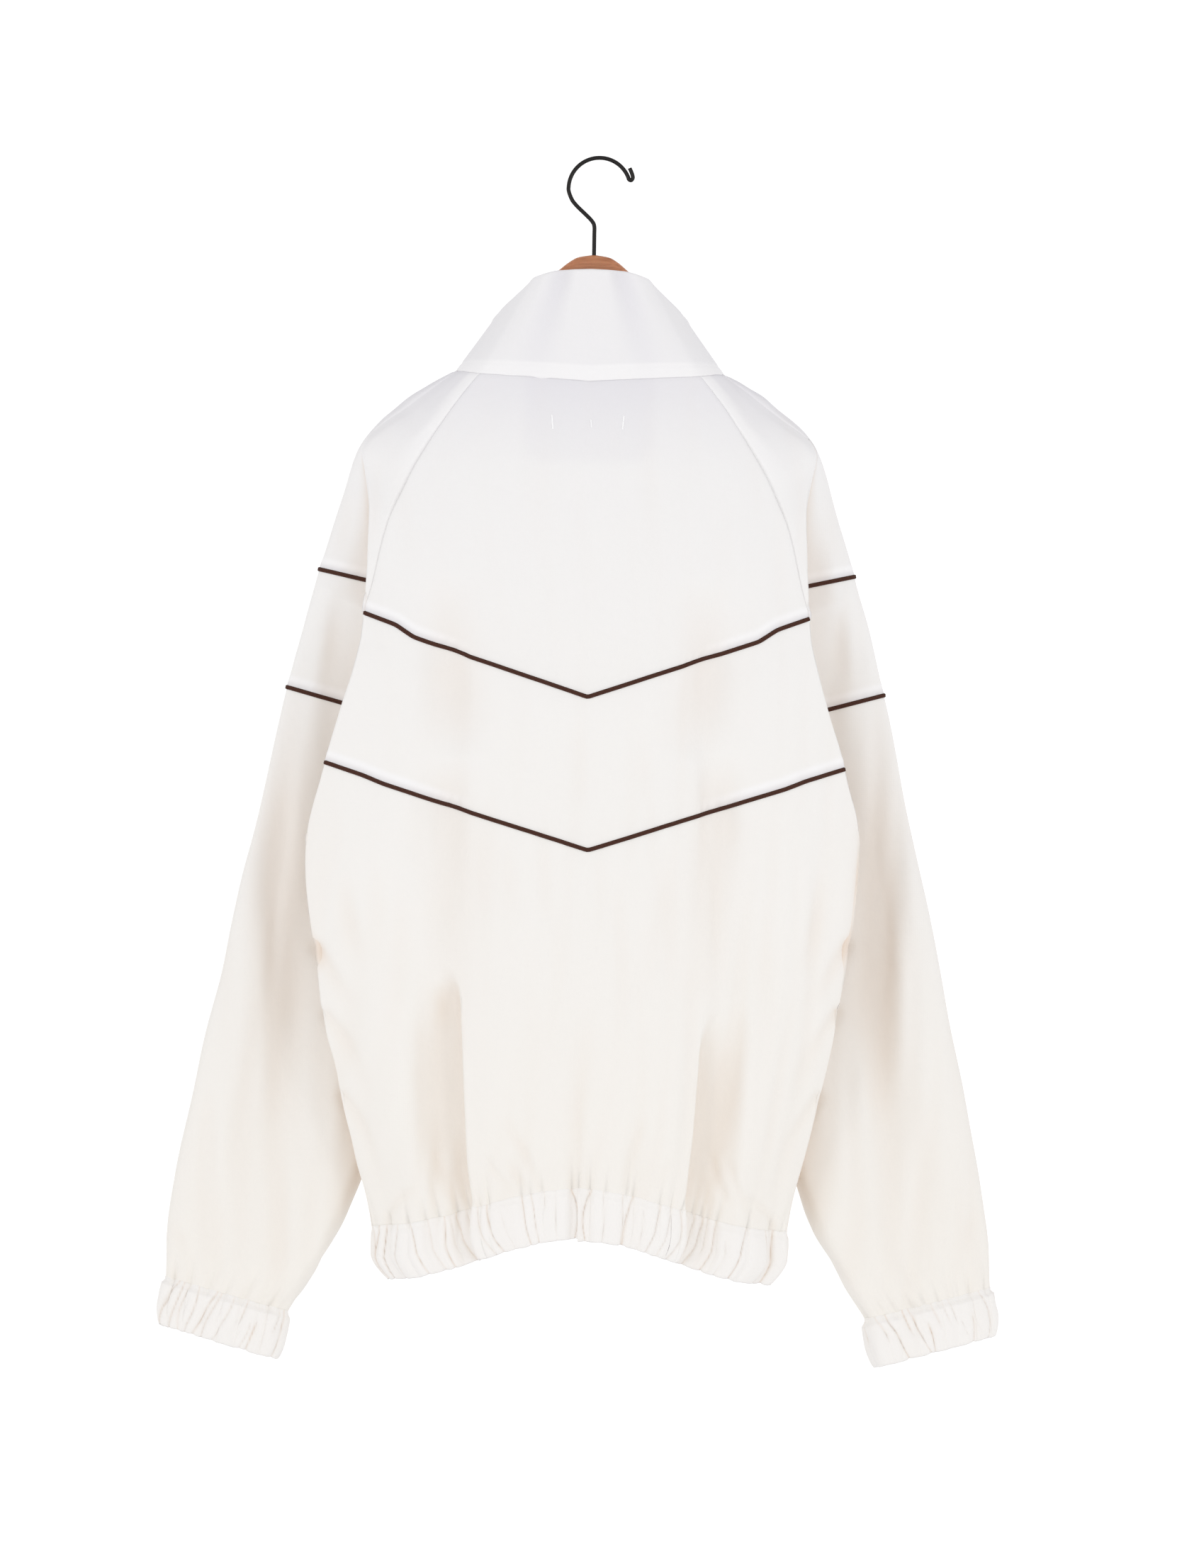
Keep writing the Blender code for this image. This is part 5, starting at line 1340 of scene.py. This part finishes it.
# The stand collar: two plies with light interfacing, turned through and sewn on to the neck. It stands by itself and
# narrows upwards, with a soft hollow on each side of centre back.
# Its top edge, "at" counting round the neck: 0 centre back, 1 the raglan seam, 2 the sleeve's outer line, 3 the front
# seam and 4 the zip
COLLAR_TOP = table(
    "at   x    y    z",
    (0, 0, -52, -91.8),
    (.6, 27, -51, -93),
    (.88, 41.5, -42, -96.8),
    (1, 48, -36, -99.4),
    (1.12, 51.2, -31, -102.8),
    (2, 74, 2, -124),
    (3, 82, 38, -135),
    (4, ZIP_REVEAL, 70, -142))
COLLAR_ROWS = 40
COLLAR_PLY = 2.0
COLLAR_SWELL = 5.0       # how far it stands out at half height at centre back
COLLAR_TROUGH = 8.0      # depth of the hollows
COLLAR_STRIP = 12.0      # the neck facing's seam shows this far above the neck seam
STRIP_ROWS = 7


def collar():
    """Outer ply from the neck seam up, round the top edge and down the inner ply."""
    back, sleeve, front = (numbers[n][0] for n in ("back_upper", "sleeve_upper_right", "front_upper_right"))
    half = len(back) // 2
    index = np.concatenate((back[half:], sleeve[1:], front[1:]))
    outer_column = half + len(FLAP_SHARES) + len(BEND_SHARES) + len(FACE_SHARES) - 3
    marks = (0, half, outer_column, half + len(sleeve) - 1, len(index) - 1)
    edge, away = net[index], facing[index]
    length = distances(edge)
    mark_shares = np.array([length[m] for m in marks]) / length[-1]
    shares = np.linspace(0, 1, int(length[-1] / 2.8))
    edge, away = share_out(relaxed_line(edge, 10), shares, away)
    away = unit(relaxed_line(away, 60))
    turn = np.interp(shares, mark_shares, range(5))
    top = np.stack(read(COLLAR_TOP, turn, "x", "y", "z"), axis=1)
    outward = unit(away * np.array((1, 1, 0)))
    ends = np.clip(np.minimum(turn / .8, (4 - turn) / .6), 0, 1)
    hollow = COLLAR_TROUGH * bump(turn, .55, .3, .3)
    rows, faces = [], []
    for up in np.linspace(0, 1, COLLAR_ROWS):
        swell = COLLAR_SWELL * math.sin(math.pi * up) * ends * np.where(turn < 1, 1 - turn, 0)
        strip = -.5 * math.exp(-((up * 90 - COLLAR_STRIP) / 1.6) ** 2)
        rows.append(edge + (top - edge) * up + outward * (swell - hollow * up + strip)[:, None])
        faces.append(unit(away * (1 - up) + outward * up))
    rim = rows[-1] - faces[-1] * COLLAR_PLY / 2 + np.array((0, 0, .8))
    inner = [row - face * COLLAR_PLY for row, face in zip(rows, faces)]
    tucked = edge - away * .8 + np.array((0, 0, -2))
    right_side = np.array([tucked] + rows + [rim] + inner[::-1])
    whole = joined(right_side, right_side)
    strip = np.zeros(whole.shape[:2])
    strip[:STRIP_ROWS] = .55
    # painted highlight: the fold along the top edge is paler
    strip[COLLAR_ROWS:COLLAR_ROWS + 3] = ((.3,), (1,), (.3,))
    # painted shade: the collar is greyer all over, and more so down in its hollows
    trough = [hollow * (.25 + .75 * k / COLLAR_ROWS) for k in range(COLLAR_ROWS + 1)]
    trough = np.array(trough + [0 * hollow] * (COLLAR_ROWS + 1))[..., None]
    made = cloth_piece("collar_cloth", whole.reshape(-1, 3), grid_faces(grid_numbers(whole)[::-1]), "collar", 0,
                       double=strip, pressed=(.2 + .045 * joined(trough, trough)) * (1 - strip[..., None]))


collar()


# The zip: woven tapes behind the two front edges with a closed row of zinc teeth between them, a slider near the top
# and its pull on the crown.
TOOTH_PITCH = 2.2
TOOTH = (2.5, 1.1, 1.0)  # reach from the tape's edge on to the tape, half thickness, height
TEETH_FROM, TEETH_TO = 6, 4  # how far the row stops short of the tape's ends


def woven_tape():
    """Zip tape: dense white polyester twill, ribs 0.6 mm apart."""
    made, tree, shader, place = new_material("zip_tape_twill")
    ribs = node(tree, "TexWave", {"Vector": place, "Scale": 500.0}, bands_direction="Z")
    bump_map = node(tree, "Bump", {"Height": ribs.outputs["Fac"], "Strength": 0.3, "Distance": 0.0002})
    tones = ramp(tree, ribs.outputs["Fac"], (0, "DAD8D6"), (1, "EDEBEA"))
    tree.links.new(tones, shader.inputs["Base Color"])
    tree.links.new(bump_map.outputs["Normal"], shader.inputs["Normal"])
    shader.inputs["Roughness"].default_value = 0.8
    return made


def zip_metal():
    """Die-cast zinc alloy, tumbled: satin grey with fine scratches."""
    made, tree, shader, place = new_material("satin_zinc")
    scratches = node(tree, "TexNoise", {"Vector": place, "Scale": 2500.0, "Detail": 4.0})
    gloss = node(tree, "MapRange", {"Value": scratches.outputs["Fac"], "To Min": 0.25, "To Max": 0.45})
    tones = ramp(tree, scratches.outputs["Fac"], (0, "8F8E8B"), (1, "B9B8B5"))
    tree.links.new(tones, shader.inputs["Base Color"])
    tree.links.new(gloss.outputs["Result"], shader.inputs["Roughness"])
    shader.inputs["Metallic"].default_value = 1.0
    return made


TAPE, METAL = woven_tape(), zip_metal()
for name, finish in (("zip_tape_left", TAPE), ("zip_tape_right", TAPE), ("zip_slider", METAL), ("zip_pull", METAL)):
    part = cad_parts[name]
    part.data.materials.clear()
    part.data.materials.append(finish)
# the outer line of the tape's edge, a point at each of its levels
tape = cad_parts["zip_tape_right"]
corners = np.array([tape.matrix_world @ corner.co for corner in tape.data.vertices]) / MM
near_zip = corners[np.abs(corners[:, 0]) < np.abs(corners[:, 0]).min() + .01]
near_zip = near_zip[np.argsort(-near_zip[:, 2])]
levels = np.split(near_zip, np.nonzero(np.diff(near_zip[:, 2]) < -3)[0] + 1)
tape_edge = np.array([level[level[:, 1].argmax()] for level in levels])


def zip_teeth(side):
    """One side's teeth: blocks clamped over the tape's edge, waisted, each with its head past the middle."""
    run = distances(tape_edge)
    sign = 1 if side == "right" else -1
    points, faces = [], []
    first = TEETH_FROM + (TOOTH_PITCH / 2 if side == "left" else 0)
    for at in np.arange(first, run[-1] - TEETH_TO, TOOTH_PITCH):
        spot = np.array([np.interp(at, run, column) for column in tape_edge.T])
        ahead = np.array([np.interp(at + 1, run, column) for column in tape_edge.T])
        down = unit(ahead - spot)
        out = np.array((0, -down[2], down[1]))
        start = len(points)
        for across, half, tall in ((TOOTH[0], .7, .8), (1.2, 1, 1), (.3, 1, .7), (-.9, .8, 1), (-1.2, .5, .7)):
            for way, rise in ((1, 1), (1, -1), (-1, -1), (-1, 1)):
                points.append(spot + np.array((sign * across, 0, 0)) + out * (way * half * TOOTH[1] - .4)
                              + down * rise * tall * TOOTH[2] / 2)
        index = np.arange(start, len(points)).reshape(5, 4)
        faces += grid_faces(index, ring=True) + [index[0, ::-1].tolist(), index[-1].tolist()]
    made = add_piece("zip_teeth_" + side, np.array(points), faces, METAL, smooth=False)
    fit(made)


zip_teeth("right")
zip_teeth("left")
for name in ("zip_slider", "zip_pull"):
    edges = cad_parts[name].modifiers.new("rounded", "BEVEL")
    edges.width = 0.0003
    edges.segments = 2
